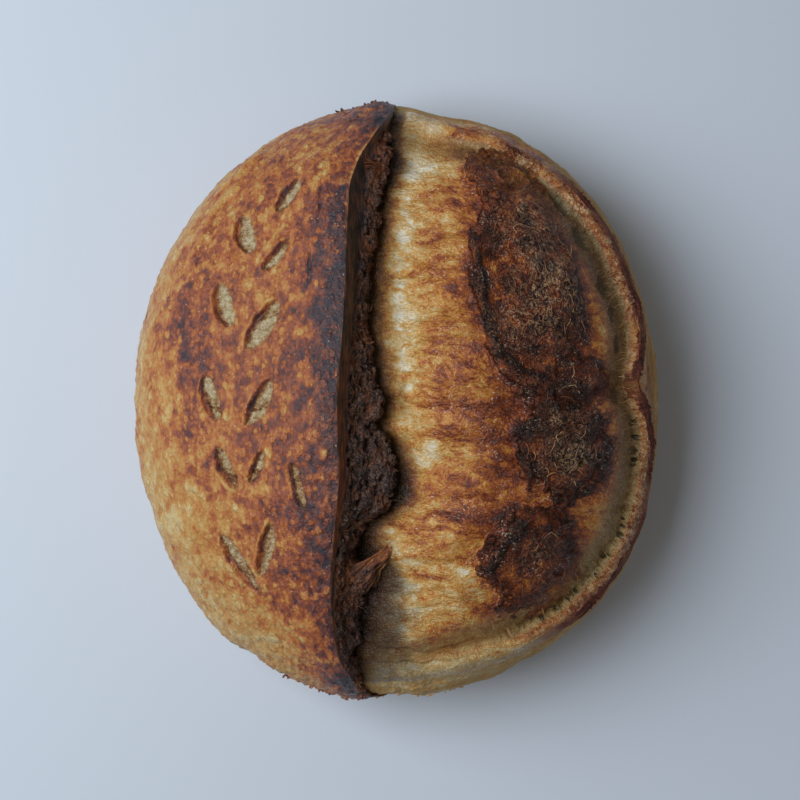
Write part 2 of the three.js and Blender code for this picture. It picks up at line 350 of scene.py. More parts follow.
bands = {}
columns = 0
for name, count in (("crust", grid["left"] + grid["crust"]), ("flesh", grid["flesh"]), ("bloom", grid["bloom"]),
                    ("side", grid["side"]), ("under", grid["right"] + grid["base"])):
    bands[name] = (columns, columns + count)
    columns += count
gx = np.hstack([underX, crustX, fleshX[:, 1:], bloomX, sideX, downX, acrossX])
gz = np.hstack([undersideZ(underX, rowY), crustZ(crustX, rowY), fleshZ[:, 1:], bloomZ, openSideZ(sideX, rowY),
                undersideZ(downX, rowY), undersideZ(acrossX, rowY)])
gy = np.broadcast_to(rowY, gx.shape)
column = np.arange(columns)[None, :]
lipColumn = bands["crust"][1] - 1


def band(name):
    start, end = bands[name]
    return ((column >= start) & (column < end)) * 1.0


# a band that fades out towards both its edges, over so many columns
def faded(name, first, last):
    start, end = bands[name]
    return band(name) * ramp(column - start, 0, max(first, 1)) * ramp(end - 1 - column, 0, max(last, 1))


gx = gx + lipWander * bell(column, lipColumn, 5)
swell = sum(s * bellToward(planAngle(gx, gy), toward, wide) for toward, wide, s in loaf["swells"])
swell = swell * planShare(gx, gy) ** 3
swell = swell + 0.006 * planShare(gx, gy) ** 4 * noise(planAngle(gx, gy) / 6, gz / 14, seed=21)
ragged = sum(k * bellToward(planAngle(gx, gy), toward, wide) for toward, wide, k in loaf["ragged"])
ragged = ragged * planShare(gx, gy) ** 8 * layeredNoise(planAngle(gx, gy) / 1.6, gz / 5, seed=23, layers=2)
swell = swell + 0.014 * ragged
skin = np.stack([gx * (1 + swell), gy * (1 + swell), gz], -1)
print("loaf: form of", gx.shape[0], "by", gx.shape[1], "points")


def gridNormals(points):
    n = np.cross(np.gradient(points, axis=1), np.gradient(points, axis=0))
    return n / np.maximum(np.linalg.norm(n, axis=2, keepdims=True), 1e-9)


# relief in mm and baking, from 0 for pale to 1 for burnt, are fields over the whole skin
toLip = lipX - gx
toOutline = np.maximum((gx + half) / np.maximum(lipX + half, 1e-6), 0)
onPlan = planAngle(gx, gy)
inside = insideRim(gx, gy)
crestZ = loaf["bellyHeight"] + loaf["bloomRise"] * (1 - rimShare(gx, gy) ** roundness) ** (1 / roundness)
# outside the rim, how far down the flank
below = np.where(inside < 0, np.hypot(inside, 0.45 * np.maximum(crestZ - gz, 0)), 0)
smoothEnds = ramp(half, 6, 30)  # nothing rough where the sections close at the ends
relief = np.zeros(gx.shape)


def patches(stains):
    warpX = gx + 4 * noise(gx / 9, gy / 9, seed=41) + 2 * noise(gx / 3, gy / 3, seed=43)
    warpY = gy + 2.4 * noise(gx / 9, gy / 9, seed=42) + 1.6 * noise(gx / 3, gy / 3, seed=44)
    return sum(amount * np.exp(-((warpX - cx) / rx) ** 2 - ((warpY - cy) / ry) ** 2)
               for cx, cy, rx, ry, amount in stains)


crustLook = {
    # x, y, two radii, and how much darker
    "purple": [(-82, 28, 7, 9, 0.3), (-76, 12, 9, 6, 0.2), (-44, 84, 14, 6, 0.04), (-34, -35, 9, 16, 0.14),
               (-70, 46, 7, 8, 0.14), (-80, -12, 6, 5, 0.14), (-62, -70, 6, 4, 0.12), (-40, 14, 9, 10, 0.1),
               (-4, 107, 8, 5, 0.26), (-18, -106, 10, 8, 0.24), (-40, -75, 6, 5, 0.12), (-30, -58, 6, 10, 0.12),
               (-26, 40, 6, 22, 0.12), (-26, 10, 6, 12, 0.14), (-47, 12, 9, 10, 0.08), (-48, -16, 11, 13, 0.11),
               (-46, -43, 10, 11, 0.12), (-46, -64, 8, 7, 0.13), (-80, -20, 8, 22, 0.08),
               (-24, 54, 7, 14, 0.09)],
    # and how much paler
    "golden": [(-58, -80, 20, 12, 0.14), (-78, -44, 10, 12, 0.16), (-40, -94, 14, 7, 0.14),
               (-30, 88, 10, 6, 0.06), (-45, 66, 8, 7, 0.06), (-34, 8, 6, 9, 0.06), (-86, 5, 6, 20, 0.08),
               (-34, -84, 8, 6, 0.1), (-58, -30, 12, 14, 0.06), (-66, 66, 12, 16, 0.08), (-38, 98, 14, 6, 0.08),
               (-50, 46, 8, 8, 0.06)],
    "paleWidth": [(-117, 0.75), (-100, 0.62), (-80, 0.52), (-55, 0.46), (-25, 0.36), (0, 0.28), (30, 0.16),
                  (80, 0.1), (117, 0.06)],
    "bake": 0.55,
    "paler": 0.29,
    "darkToLip": ((16, 0.15), (3, 0.1)),  # mm from the lip, and how much darker
    "mottle": (0.17, 0.13, 0.05),
    "blisterHeight": 0.3,
    "cutDepth": 1.35,
    # low ridges: from x, y to x, y, width, height
    "folds": [(-70, 79, -51, 96, 0.9, 1.2), (-75, 67, -58, 86, 0.8, 1.0), (-37, 82, -24, 90, 0.8, 0.9),
              (-53, 51, -42, 65, 0.8, 0.8), (-66, -52, -46, -72, 1.0, 1.0), (-72, 72, -56, 91, 0.8, 0.9),
              (-64, 62, -60, 50, 0.9, 0.8), (-80, 52, -70, 70, 0.9, 0.8)],
    # centre x and y, length, width, lean from +Y towards +X in degrees
    "leafCuts": [(-40.5, 77, 16.5, 5.4, 34), (-55.5, 62.5, 16, 8.2, -10), (-28.5, 73.5, 18.5, 1.9, 3),
                 (-44.5, 54, 16, 4.6, 40), (-32, 49, 16.5, 1.9, 2), (-63.5, 36, 19, 8, -15),
                 (-49.5, 28, 23.5, 8.6, 34), (-68.5, 1, 19, 7.4, -17), (-50.5, -1, 21, 7, 28),
                 (-62.5, -25, 19, 5.8, -26), (-51.5, -24.5, 14.5, 3.8, 22), (-35.5, -31, 19.5, 4.2, -16),
                 (-48, -55, 22, 5.6, 12), (-57.5, -60, 28, 6.4, -36), (-33, -66, 16.5, 2.1, -23)],
}


def foldHeight(fold):
    x0, y0, x1, y1, width, height = fold
    length = math.hypot(x1 - x0, y1 - y0)
    share = ((gx - x0) * (x1 - x0) + (gy - y0) * (y1 - y0)) / length ** 2
    away = ((gx - x0) * (y1 - y0) - (gy - y0) * (x1 - x0)) / length + 0.9 * noise(gx / 5, gy / 5, seed=22)
    return height * bell(away, 0, width) * ramp(share, -0.1, 0.25) * (1 - ramp(share, 0.75, 1.1))


crust = band("crust")
mottle = (layeredNoise(gx / 11, gy / 14, gz / 11, seed=51),
          layeredNoise(gx / 3.6, gy / 4.6, gz / 3.6, seed=52, layers=2),
          noise(gx / 1.7, gy / 2.6, gz / 1.7, seed=53))
crustBake = crustLook["bake"] - 0.05 * (1 - ramp(rowY, -50, 0))
crustBake = crustBake + sum(gain * m for gain, m in zip(crustLook["mottle"], mottle))
crustBake += patches(crustLook["purple"]) - patches(crustLook["golden"])
pale = 1 - ramp(toOutline, 0.0, along(crustLook["paleWidth"], rowY) + 0.1)
crustBake -= crustLook["paler"] * pale * (0.85 + 0.3 * mottle[1])
crustBake += sum(k * bell(toLip, 0, wide) for wide, k in crustLook["darkToLip"]) * (1 - 0.6 * bell(rowY, 88, 14))
farSpot, spotSize = spots(gx / 2.9, gy / 3.9, gz / 2.9, seed=61)
blisters = ramp(0.14 + 0.3 * spotSize - farSpot, 0, 0.16) * (spotSize > 0.3)

cuts, cutWall, cutCrumb, cutRidge, cutEdge = (np.zeros(gx.shape) for _ in range(5))
for x0, y0, length, width, lean in crustLook["leafCuts"]:
    a = math.radians(lean)
    u = ((gx - x0) * math.sin(a) + (gy - y0) * math.cos(a)) / (length / 2)
    w = (gx - x0) * math.cos(a) - (gy - y0) * math.sin(a) + 0.5 * noise(gx / 3.4, gy / 3.4, seed=71)
    w = w - 0.1 * width * (1 - u ** 2) * (1 if lean > 0 else -1)  # one side rounder than the other
    halfCut = width / 2 * np.maximum(1 - u ** 2, 0) ** 0.7
    q = w / np.maximum(halfCut, 0.05)
    within = crust * (np.abs(u) < 1)
    wide = ramp(width, 2.4, 3.6)
    deep = crustLook["cutDepth"] * (0.35 + 0.65 * wide) * ramp(1 - np.abs(u), 0, 0.4)
    basin = ramp(q, -1.06, -0.86) * (1 - ramp(q, 0.4, 1.06)) * (1 - 0.45 * ramp(q, -0.8, 0.5))
    slit = ramp(1 - np.abs(q), 0, 0.8)
    cuts += within * deep * (wide * basin + (1 - wide) * slit)
    cutCrumb += within * wide * ramp(q, -0.86, -0.66) * (1 - ramp(q, 0.7, 0.98)) * ramp(1 - np.abs(u), 0.04, 0.2)
    cutEdge += within * wide * (bell(q, -0.8, 0.3) + 0.5 * bell(q, 0.95, 0.3) + 0.6 * ramp(np.abs(u), 0.6, 1.0))
    cutWall += within * (wide * bell(q, -0.94, 0.17) + 0.8 * (1 - wide) * slit + 0.25 * wide * bell(q, 0.98, 0.12))
    cutRidge += crust * ramp(1.15 - np.abs(u), 0, 0.4) * bell(w + halfCut + 0.9, 0, 0.7) * wide

relief += faded("crust", 1, 4) * (
    0.7 * layeredNoise(gx / 21, gy / 21, gz / 21, seed=81, layers=2)
    + 0.4 * layeredNoise(gx / 5, gy / 6, gz / 5, seed=82, layers=3) * (1 - 0.6 * cutCrumb)
    + crustLook["blisterHeight"] * blisters * (1 - ramp(cuts, 0, 0.6))
    + 0.6 * cutRidge - cuts + 0.5 * cutCrumb * noise(gx / 1.3, gy / 0.9, gz / 1.3, seed=83))
folds = sum(foldHeight(f) for f in crustLook["folds"])
crustBake -= 0.3 * bell(toLip, 0, 0.9) * ramp(rowY, 50, 76) * (1 - ramp(rowY, 100, 108))
relief += faded("crust", 1, 4) * folds
# darker walls in the cuts and paler blisters; paler along the raised ridges round the cuts and along the folds, a
# painted highlight where the ridges catch the light
crustBake += 0.17 * cutWall - 0.12 * cutRidge - 0.06 * blisters - 0.14 * folds
crustBake += np.clip(cutCrumb, 0, 1) * (
    0.22 + 0.12 * (1 - ramp(rowY, -20, 20)) + 0.5 * cutEdge + 0.16 * mottle[1] - crustBake)
soot = 0.6 * layeredNoise(gx / 5, gy / 7, gz / 5, seed=84)
soot = soot + 1.3 * bell(toLip, 0, 9) * (0.4 + 0.6 * bell(rowY, 35, 42))
crustChar = np.maximum(ramp(soot * (1 - 0.6 * bell(rowY, 92, 8)), 0.25, 1.0),
                       0.8 * bell(toLip, 0, 1.4) * (1 - ramp(rowY, 50, 76)) * ramp(rowY, -100, -84))

# torn flesh: a smooth burnt strip beside the lip, then charred fibres and holes
fleshLook = {
    "bake": 0.95,
    "streakHeight": 0.12,
    "lumpHeight": 2.2,
    "strandHeight": 0.6,
    "holeDepth": 2.2,
    # y, spread, and how much paler the torn flesh is there
    "paler": [(89, 9, 0.18), (-66, 9, 0.24), (62, 12, 0.12), (26, 9, 0.12)],
    # and how charred
    "charred": [(-28, 24, 1.0), (-82, 12, 0.5)],
}


def alongRows(stains):
    return sum(amount * bell(rowY, y, wide) for y, wide, amount in stains)


depthShare = np.clip((column - lipColumn) / grid["flesh"], 0, 1)
stripEnd = along(ear["strip"], rowY) + 0.03 * noise(rowY / 3, 0.5, seed=95)
torn = band("flesh") * ramp(depthShare, stripEnd, stripEnd + 0.08)
strands = 1 - np.abs(noise(gx / 1.6, gy / 3.2, gz / 1.6, seed=91)) * 2.4
pits, pitSize = spots(gx / 3.6, gy / 4.6, gz / 3.6, seed=92)
lumps = layeredNoise(gx / 5.5, gy / 5.5, gz / 5.5, seed=93, layers=3)
relief += faded("flesh", 3, 6) * smoothEnds * (
    fleshLook["streakHeight"] * noise(gx / 1.2, gy / 8, gz / 1.2, seed=94)
    + torn * (fleshLook["lumpHeight"] * lumps + fleshLook["strandHeight"] * strands
              - fleshLook["holeDepth"] * ramp(0.24 + 0.22 * pitSize - pits, 0, 0.16)))
fleshBake = fleshLook["bake"] - 0.3 * ramp(-rowY, 99, 109) + 0.3 * lumps
fleshBake = fleshBake - 0.06 * strands * torn - 0.1 * torn * ramp(rowY, 24, 60)
fleshBake -= bell(depthShare, 0.02, 0.02) * (0.12 + 0.4 * ramp(rowY, 50, 76) * (1 - ramp(rowY, 100, 108)))
fleshBake -= torn * alongRows(fleshLook["paler"])
fleshChar = torn * alongRows(fleshLook["charred"]) * ramp(layeredNoise(gx / 6, gy / 6, gz / 6, seed=96), -0.7, 0.3)
fleshBake -= 0.08 * ramp(-rowY, 20, 40) + 0.07 * bell(rowY, 0, 45) + 0.16 * bell(rowY, 98, 9)
fleshBake -= 0.25 * torn * ramp(depthShare, 0.7, 1.0) + 0.1 * (1 - torn) * (1 - ramp(rowY, 0, 30))

bloomLook = {
    "bake": {"crumb": 0.08, "shade": 0.58, "island": 0.84, "burnt": 0.96, "amber": 0.56, "groove": 0.52,
             "flank": 0.24, "ledge": 0.14},
    # x, y, two radii, and how much darker
    "gold": [(16, 30, 12, 34, 0.06), (14, 62, 7, 5, 0.1), (26, 44, 5, 9, 0.12), (18, 22, 6, 5, 0.14),
             (30, 18, 7, 6, 0.12), (22, -8, 16, 22, 0.08), (8, -30, 12, 6, 0.22), (2, -36, 7, 4, 0.24),
             (30, -2, 14, 3, 0.16), (10, -66, 8, 1.8, 0.26), (26, 12, 10, 9, 0.1), (24, -41, 9, 5, 0.08),
             (25, 104, 7, 3.5, 0.22), (24, -38, 24, 13, 0.17), (16, -8, 14, 10, 0.08), (10, -50, 14, 6, 0.12),
             (42, -6, 8, 12, 0.2), (43, -28, 6, 8, 0.12), (16, 79, 14, 6, 0.16), (-2, 70, 6, 5, 0.12),
             (8, -52, 8, 4, 0.1), (26, 72, 12, 5, 0.1), (20, -14, 14, 1.6, 0.2), (6, 46, 5, 6, 0.1),
             (17, 60, 9, 4, 0.1), (33, 42, 5, 14, 0.12), (12, 2, 9, 4, 0.12), (44, -44, 14, 4, 0.16),
             (32, 60, 4, 10, 0.12), (20, 40, 4, 4, 0.2), (36, -20, 6, 10, 0.12), (38, -80, 10, 5, 0.14),
             (-4, -104, 12, 3, 0.12), (20, 82, 7, 6, 0.12), (14, 49, 9, 5, 0.1), (-2, 72, 4, 6, 0.1)],
    # and how much paler
    "cream": [(-2, 68, 8, 8, 0.16), (2, 24, 7, 12, 0.1), (6, -26, 6, 3, 0.1), (16, -50, 12, 6, 0.14),
              (14, 88, 12, 7, 0.08), (10, -76, 12, 6, 0.06), (0, 44, 6, 5, 0.06), (4, -6, 8, 7, 0.14),
              (2, 98, 10, 6, 0.1), (14, -22, 8, 5, 0.14), (30, -88, 8, 4, 0.1), (31, 15, 5, 7, 0.16),
              (26, -66, 9, 7, 0.12), (31, -72, 7, 8, 0.12), (18, -88, 11, 8, 0.04), (22, 60, 8, 6, 0.06)],
    # y, and how far from the cleft the painted brown shade under the ear's overhang reaches
    "shade": [(-117, 8), (-90, 12), (-70, 15), (-50, 20), (-41, 18), (-30, 16), (-12, 16), (5, 17), (28, 17),
              (50, 15), (80, 13), (117, 6)],
    # y, how far the painted shadow of the ear reaches over the bloom, and how strong it is
    "paintedEarShadowWidth": [(-117, 30), (-93, 33), (-80, 27), (-70, 23), (-56, 20), (-48, 12), (-40, 14), (-28, 12),
                  (-10, 8), (10, 6), (60, 6), (76, 10), (90, 14), (117, 14)],
    "paintedEarShadow": [(-117, 0.6), (-100, 0.8), (-90, 1), (-60, 1), (-50, 0.6), (-40, 0.6), (-25, 0.45), (-8, 0.2),
             (8, 0), (62, 0), (76, 0.5), (90, 0.85), (104, 0.6), (117, 0.3)],
    # x, y, two radii, and how much paler or darker the islands are
    "islandTints": [(42, -64, 9, 9, -0.2), (60, -70, 12, 9, -0.16), (75, 8, 8, 12, -0.18), (38, 50, 8, 30, -0.06)],
    # torn steps: x, y, half length, drop
    "steps": [(20, -2, 22, 1.0), (18, -36, 20, 0.8), (12, -60, 16, 0.8), (8, -94, 14, 1.6), (6, -100, 16, 1.2)],
    # hollows in the groove: x, y, half length, half width, turn from +X in degrees, depth
    "pockets": [(62.5, 74, 7.0, 2.0, -54, 2.6), (69.5, 61.4, 5.4, 2.6, -54, 2.8),
                (79.5, 43, 5.6, 3.2, -74, 2.2), (82.5, 33, 3.4, 2.4, -76, 2.0), (84, 21, 4.2, 1.6, -84, 2.4),
                (84, 2, 4.0, 2.4, -88, 1.6), (49, 88, 5, 1.4, -36, 1.4), (69.4, -23.4, 1.5, 1.1, 10, 2.2),
                (60, 9.5, 1.3, 1.0, 0, 1.2)],
    # a smooth amber blister
    "amber": {"centre": (44.3, 84.6), "half": (5.6, 3.4), "turn": -28},
    # where the islands' fibres are pale
    "ash": [(59, -6, 3.5, 3, 0.9), (67, -21, 5, 3.5, 0.9), (56, 44, 11, 20, 1.0), (47, 68, 10, 8, 0.8),
            (62, -18, 11, 12, 0.8), (53, -60, 6, 9, 0.45), (42, 30, 10, 8, 0.5)],
    # and dark rolled edges: from x, y to x, y, width, amount
    "burnt": [(28.5, 64, 31.5, 47, 1.1, 1.0), (31.5, 48, 33.8, 25, 1.3, 1.0), (33.2, 28, 39, 16.5, 1.2, 1.1),
              (37.5, 18.5, 47, 10.5, 1.1, 1.1), (45, 11, 57, 8.2, 0.9, 0.8), (48, -43, 41, -53, 2.2, 1.1),
              (42, -51, 34, -63, 1.3, 1.1), (41, -10.4, 50, -10.8, 2.0, 1.0), (48, -20, 49, -36, 1.1, 0.6)],
}
island, darkEdge, halo = (np.zeros(gx.shape) for _ in range(3))
bend = (1.6 * noise(gx / 15, gy / 15, seed=97),
        3 * noise(gx / 22, gy / 15, seed=98) + 0.8 * noise(gx / 8, gy / 6, seed=99))
# the way the dough was pulled: across the bloom, and round the middle of each island
flow = [gx + bend[0], gy + bend[1], gz]
heading = 0.5 * noise(gx / 9, gy / 9, seed=133)
for shape in bloom["islands"]:
    place, u = islandPlace(gx, gy, shape)
    island = np.maximum(island, ramp(1.06 - place, 0, 0.08 + 0.12 * ramp(u, -0.2, 0.7)))
    halo = np.maximum(halo, bell(place, 1.05, 0.16))
    darkEdge = np.maximum(darkEdge, bell(place, 0.9, 0.12) * (1 - ramp(u, -0.5, 0.0)) * (shape[2] > 12))
    turned = (gx, 24 * place + 2.5 * bend[1], gy)
    flow = [np.where(place < 1.0, new, old) for new, old in zip(turned, flow)]
    v = turnedAbout(gx, gy, shape[0], shape[1], shape[4])[1] / shape[3]
    around = np.arctan2(v / shape[3], u / shape[2]) + math.radians(shape[4]) + math.pi / 2
    heading = np.where(place < 1.02, around, heading)
arc = onPlan * loaf["mmPerDegree"]
fibres = noise(flow[0] / 7, flow[1] / 1.3, flow[2] / 9, seed=102)
fineFibres = noise(flow[0] / 3.2, flow[1] / 0.7, flow[2] / 5, seed=104)
fromCleft = gx - evenCleftX
openBake = bloomLook["bake"]["crumb"] + 0.2 * ramp(fromCleft, 8, 30) + 0.1 * ramp(fromCleft, 24, 50)
openBake -= 0.14 * (1 - ramp(rowY - 0.05 * gx, -102, -88))
# painted shade beside the cleft, where the torn flesh overhangs the bloom: darker bake, tinted olive
shadeEdge = fromCleft + 1.6 * noise(gx / 5, gy / 5, seed=136)
paintedCleftShade = (1 - ramp(shadeEdge, 4.5, along(bloomLook["shade"], rowY))) * ramp(rowY, -112, -98)
openBake += bloomLook["bake"]["shade"] * paintedCleftShade
# painted shadow of the ear over the bloom: full near the flesh's edge, fading out further right
edgeX = lipX + evenReach
earShadowEnd = along(bloomLook["paintedEarShadowWidth"], rowY) * (1 + 0.25 * noise(gx / 7, gy / 7, seed=138))
earShadowStart = (0.4 - 0.28 * ramp(rowY, -20, 20)) * earShadowEnd
paintedEarShadow = along(bloomLook["paintedEarShadow"], rowY) * (1 - ramp(gx - edgeX, earShadowStart, earShadowEnd))
openBake += patches(bloomLook["gold"]) - patches(bloomLook["cream"])
openBake += (0.05 * fibres + 0.16 * layeredNoise(gx / 12, gy / 7, seed=101)
             + 0.05 * layeredNoise(gx / 4, gy / 2, seed=103))
openBake += 0.12 * halo * (1 - island)
islandBake = bloomLook["bake"]["island"] + 0.3 * layeredNoise(gx / 8, gy / 8, seed=106)
islandBake += 0.08 * fibres + 0.08 * fineFibres + 0.1 * ramp(gx, 52, 70) * ramp(gy, -50, -30)
islandBake += 0.04 * bell(gy, -10, 14) + 0.06 * bell(gy, -60, 20) - 0.12 * bell(gy, 86, 12)
islandBake += sum(k * bell(gx, cx, rx) * bell(gy, cy, ry) for cx, cy, rx, ry, k in bloomLook["islandTints"])
ash = patches(bloomLook["ash"]) * island
burnt = np.clip(sum(foldHeight(stroke) for stroke in bloomLook["burnt"]), 0, 1.2)
islandBake += 0.05 * ash
openBake += (island * (islandBake - openBake) + 0.06 * darkEdge
             + burnt * (bloomLook["bake"]["burnt"] - openBake))
amberX, amberY = turnedAbout(gx, gy, *bloomLook["amber"]["centre"], bloomLook["amber"]["turn"])
amber = np.hypot(amberX / bloomLook["amber"]["half"][0], amberY / bloomLook["amber"]["half"][1])
openBake += ramp(1.1 - amber, 0, 0.4) * (bloomLook["bake"]["amber"] - openBake) - 0.2 * bell(amber, 1.12, 0.1)
groove = ramp(inside, 3.4, 5.4) * (1 - ramp(inside, 11, 17)) * (1 - 0.75 * island)
groove = groove * (1 - 0.6 * bell(onPlan, -90, 26)) * (1 - 0.6 * ramp(onPlan, 66, 84))
groove = groove * ramp(layeredNoise(gx / 9, gy / 9, seed=122), -1.1, -0.2)
grooveBake = bloomLook["bake"]["groove"] + 0.14 * layeredNoise(gx / 5, gy / 5, seed=107)
grooveBake = grooveBake - 0.3 * bell(onPlan, -42, 26) + 0.16 * bell(onPlan, 40, 16)
openBake += groove * (grooveBake - openBake)
pocket = np.zeros(gx.shape)
for x0, y0, length, width, turn, depth in bloomLook["pockets"]:
    u, w = turnedAbout(gx, gy, x0, y0, turn)
    u, w = u / length, w / width + 0.3 * noise(gx / 2, gy / 2, seed=117)
    pocket = np.maximum(pocket, 0.7 * depth * ramp(1.1 - np.hypot(u, w), 0, 0.6))
# how strong the comb of pits, the torn crumb and the dark crest are round the rim
comb = bell(inside, 6.2, 2.2) * ramp(onPlan, -66, -54) * (1 - ramp(onPlan, -6, 6))
crumbly = ramp(onPlan, -62, -48) * (1 - 0.7 * bell(onPlan, 4, 5)) * (1 - 0.8 * ramp(onPlan, 60, 72))
crumbly = crumbly * (0.75 + 0.5 * noise(arc / 14, 0.5, seed=121))
crest = ramp(onPlan, -64, -48) * (1 - ramp(onPlan, 44, 60)) * (0.9 + 0.4 * noise(arc / 9, 0.5, seed=118))
ledge = bell(inside + 0.5 * noise(arc / 5, 0.5, seed=119), 0.4, 0.6) * (1 - ramp(onPlan, -62, -50))
openBake += ledge * (bloomLook["bake"]["ledge"] - openBake)
outer = ramp(below, 1.9, 4.0)
layers = noise(onPlan / 14, inside / 0.8, seed=114)
flankBake = bloomLook["bake"]["flank"] + 0.2 * layeredNoise(gx / 14, gy / 14, gz / 7, seed=109) - 0.06 * blisters
flankBake = flankBake + 0.22 * ramp(gz, 40, 62) * ramp(onPlan, -70, -20)
flankBake = flankBake + 0.1 * noise(arc / 26, gz / 1.8, seed=112)
openBake += outer * (flankBake - openBake)
# darker in the groove's hollows: painted shade
openBake += 0.12 * pocket

opened = band("bloom") + band("side")
onOpen = np.clip(faded("bloom", 8, 0) + band("side") + 0.3 * band("under"), 0, 1) * smoothEnds
steps = sum(drop * bell(gx, x0, wide) * bell(gy - y0, 2, 7)
            * ramp(gy - y0 - 0.09 * (gx - x0) ** 2 / wide - 1.5 * noise(gx / 5, 0.5, seed=116), -0.6, 0.9)
            for x0, y0, wide, drop in bloomLook["steps"])
relief += onOpen * (
    (1 - outer) * (0.12 * fibres + 0.08 * fineFibres + 0.9 * noise(gx / 15, gy / 10, seed=113)
                   + 0.2 * layeredNoise(gx / 5, gy / 3, seed=123, layers=2) + steps)
    + island * (0.6 * layeredNoise(gx / 3.4, gy / 3.4, gz / 3.4, seed=105, layers=3))
    + 0.4 * darkEdge + 1.2 * burnt - pocket - 1.3 * ramp(1.1 - amber, 0, 0.5) + 0.5 * bell(amber, 1.15, 0.12)
    + 0.6 * bell(inside, 2.6, 2.2) * noise(arc / 1.6, inside / 2.4, seed=110) * crumbly
    - 1.2 * comb * ramp(noise(arc / 1.5, inside / 4, seed=111), -0.1, 0.35)
    + 0.4 * layers * bell(inside, -2, 3)
    + outer * (0.6 * layeredNoise(gx / 11, gy / 11, gz / 7, seed=115, layers=3) + 0.25 * blisters))


def byBand(onCrust=0.0, onFlesh=0.0, onOpening=0.0, onUnder=0.0):
    return crust * onCrust + band("flesh") * onFlesh + opened * onOpening + band("under") * onUnder


# what the materials read, at every point of the skin
fields = {
    "bake": byBand(crustBake, fleshBake, openBake, flankBake),
    "blister": byBand(1 - ramp(cuts, 0, 0.4)),
    "char": byBand(crustChar, fleshChar),
    "crumb": byBand(np.clip(cutCrumb, 0, 1)),
    "flour": byBand(0, 0, outer, 1),
    # olive membrane in the groove, the painted shade beside the cleft, and olive towards the front
    "olive": byBand(0, 0, np.maximum(np.maximum(groove, 0.85 * paintedCleftShade),
                                     0.7 * (1 - outer) * (1 - ramp(rowY - 0.05 * gx, -104, -86)))),
    "hollow": byBand(0, 0, ramp(pocket, 0.3, 2.2)),
    "comb": byBand(0, 0, comb),
    "crumbly": byBand(0, 0, crumbly),
    "crest": byBand(0, 0, crest),
    "rim": np.stack([arc, np.where(inside < 0, -below, inside), 3.4 * bell(onPlan, 4.5, 7)], -1),
    "island": byBand(0, 0, island * (1 - outer)),
    "ash": byBand(0, 0, np.clip(ash, 0, 1)),
    "torn": byBand(0, torn, (1 - outer) * (1 - 0.8 * groove)),
    "paintedEarShadow": byBand(0, 0, np.clip(paintedEarShadow, 0, 1) * (1 - outer)),
    "flow": np.stack(flow, -1),
}
skin = skin + gridNormals(skin) * (relief * smoothEnds)[..., None]
skin[..., 2] = np.where(gz < 1e-6, 0, np.maximum(skin[..., 2], 0))
print("loaf: relief done")


# a mesh from points in mm and arrays of faces
def addMesh(name, points, quads, tris):
    mesh = bpy.data.meshes.new(name)
    mesh.vertices.add(len(points))
    mesh.vertices.foreach_set("co", np.ascontiguousarray(points * mm, dtype=np.float32).ravel())
    mesh.loops.add(len(quads) * 4 + len(tris) * 3)
    mesh.loops.foreach_set("vertex_index", np.concatenate([quads.ravel(), tris.ravel()]).astype(np.int32))
    sizes = np.concatenate([np.full(len(quads), 4), np.full(len(tris), 3)])
    mesh.polygons.add(len(sizes))
    mesh.polygons.foreach_set("loop_start", np.concatenate([[0], np.cumsum(sizes)[:-1]]).astype(np.int32))
    mesh.update(calc_edges=True)
    mesh.validate()
    piece = bpy.data.objects.new(name, mesh)
    bpy.context.collection.objects.link(piece)
    return piece


def giveFields(piece, values):
    for name, value in values.items():
        vector = value.ndim == 2
        data = piece.data.attributes.new(name, "FLOAT_VECTOR" if vector else "FLOAT", "POINT").data
        data.foreach_set("vector" if vector else "value", value.astype(np.float32).ravel())


# one closed piece of skin: the columns from first to last, and an inner wall nearer the loaf's spine
def skinPiece(name, first, last, wallColumns=12):
    outward = np.arange(first, last + 1)
    back = np.linspace(last, first, wallColumns + 2).round().astype(int)
    ring = np.concatenate([outward, back])
    rows = np.arange(1, skin.shape[0] - 1)
    points = skin[rows][:, ring].copy()
    spine = points[:, len(outward):] * (0, 1, 0) + (0, 0, loaf["bellyHeight"])
    points[:, len(outward):] += (spine - points[:, len(outward):]) * loaf["shellDepth"]
    n, m = points.shape[:2]
    index = np.arange(n * m).reshape(n, m)
    right = np.roll(index, -1, axis=1)
    quads = np.stack([index[:-1], right[:-1], right[1:], index[1:]], -1).reshape(-1, 4)
    tris = np.concatenate([
        np.stack([np.full(m, n * m), right[0], index[0]], -1),
        np.stack([np.full(m, n * m + 1), index[-1], right[-1]], -1)])
    ends = [skin[0, first], skin[-1, first]]
    piece = addMesh(name, np.concatenate([points.reshape(-1, 3), ends]), quads, tris)

    def ringed(values):
        flat = values[rows][:, ring].reshape(n * m, *values.shape[2:])
        return np.concatenate([flat, [values[0, first], values[-1, first]]])

    giveFields(piece, {key: ringed(values) for key, values in fields.items()})
    piece.data.shade_smooth()
    piece.data.set_sharp_from_angle(angle=math.radians(70))
    return piece


lastOf = {name: end - 1 for name, (start, end) in bands.items()}
pieces = {
    "scoredCrust": skinPiece("scoredCrust", 0, lastOf["crust"]),
    "tornEar": skinPiece("tornEar", lastOf["crust"], lastOf["flesh"]),
    "openBloom": skinPiece("openBloom", lastOf["flesh"], lastOf["bloom"]),
    "rimAndSide": skinPiece("rimAndSide", lastOf["bloom"], columns - 1),
}
for name, piece in pieces.items():
    print("loaf:", name, len(piece.data.polygons), "faces")


def albedo(rgb):
    return tuple((c / 255) / 12.92 if c < 11 else ((c / 255 + 0.055) / 1.055) ** 2.4 for c in rgb) + (1,)


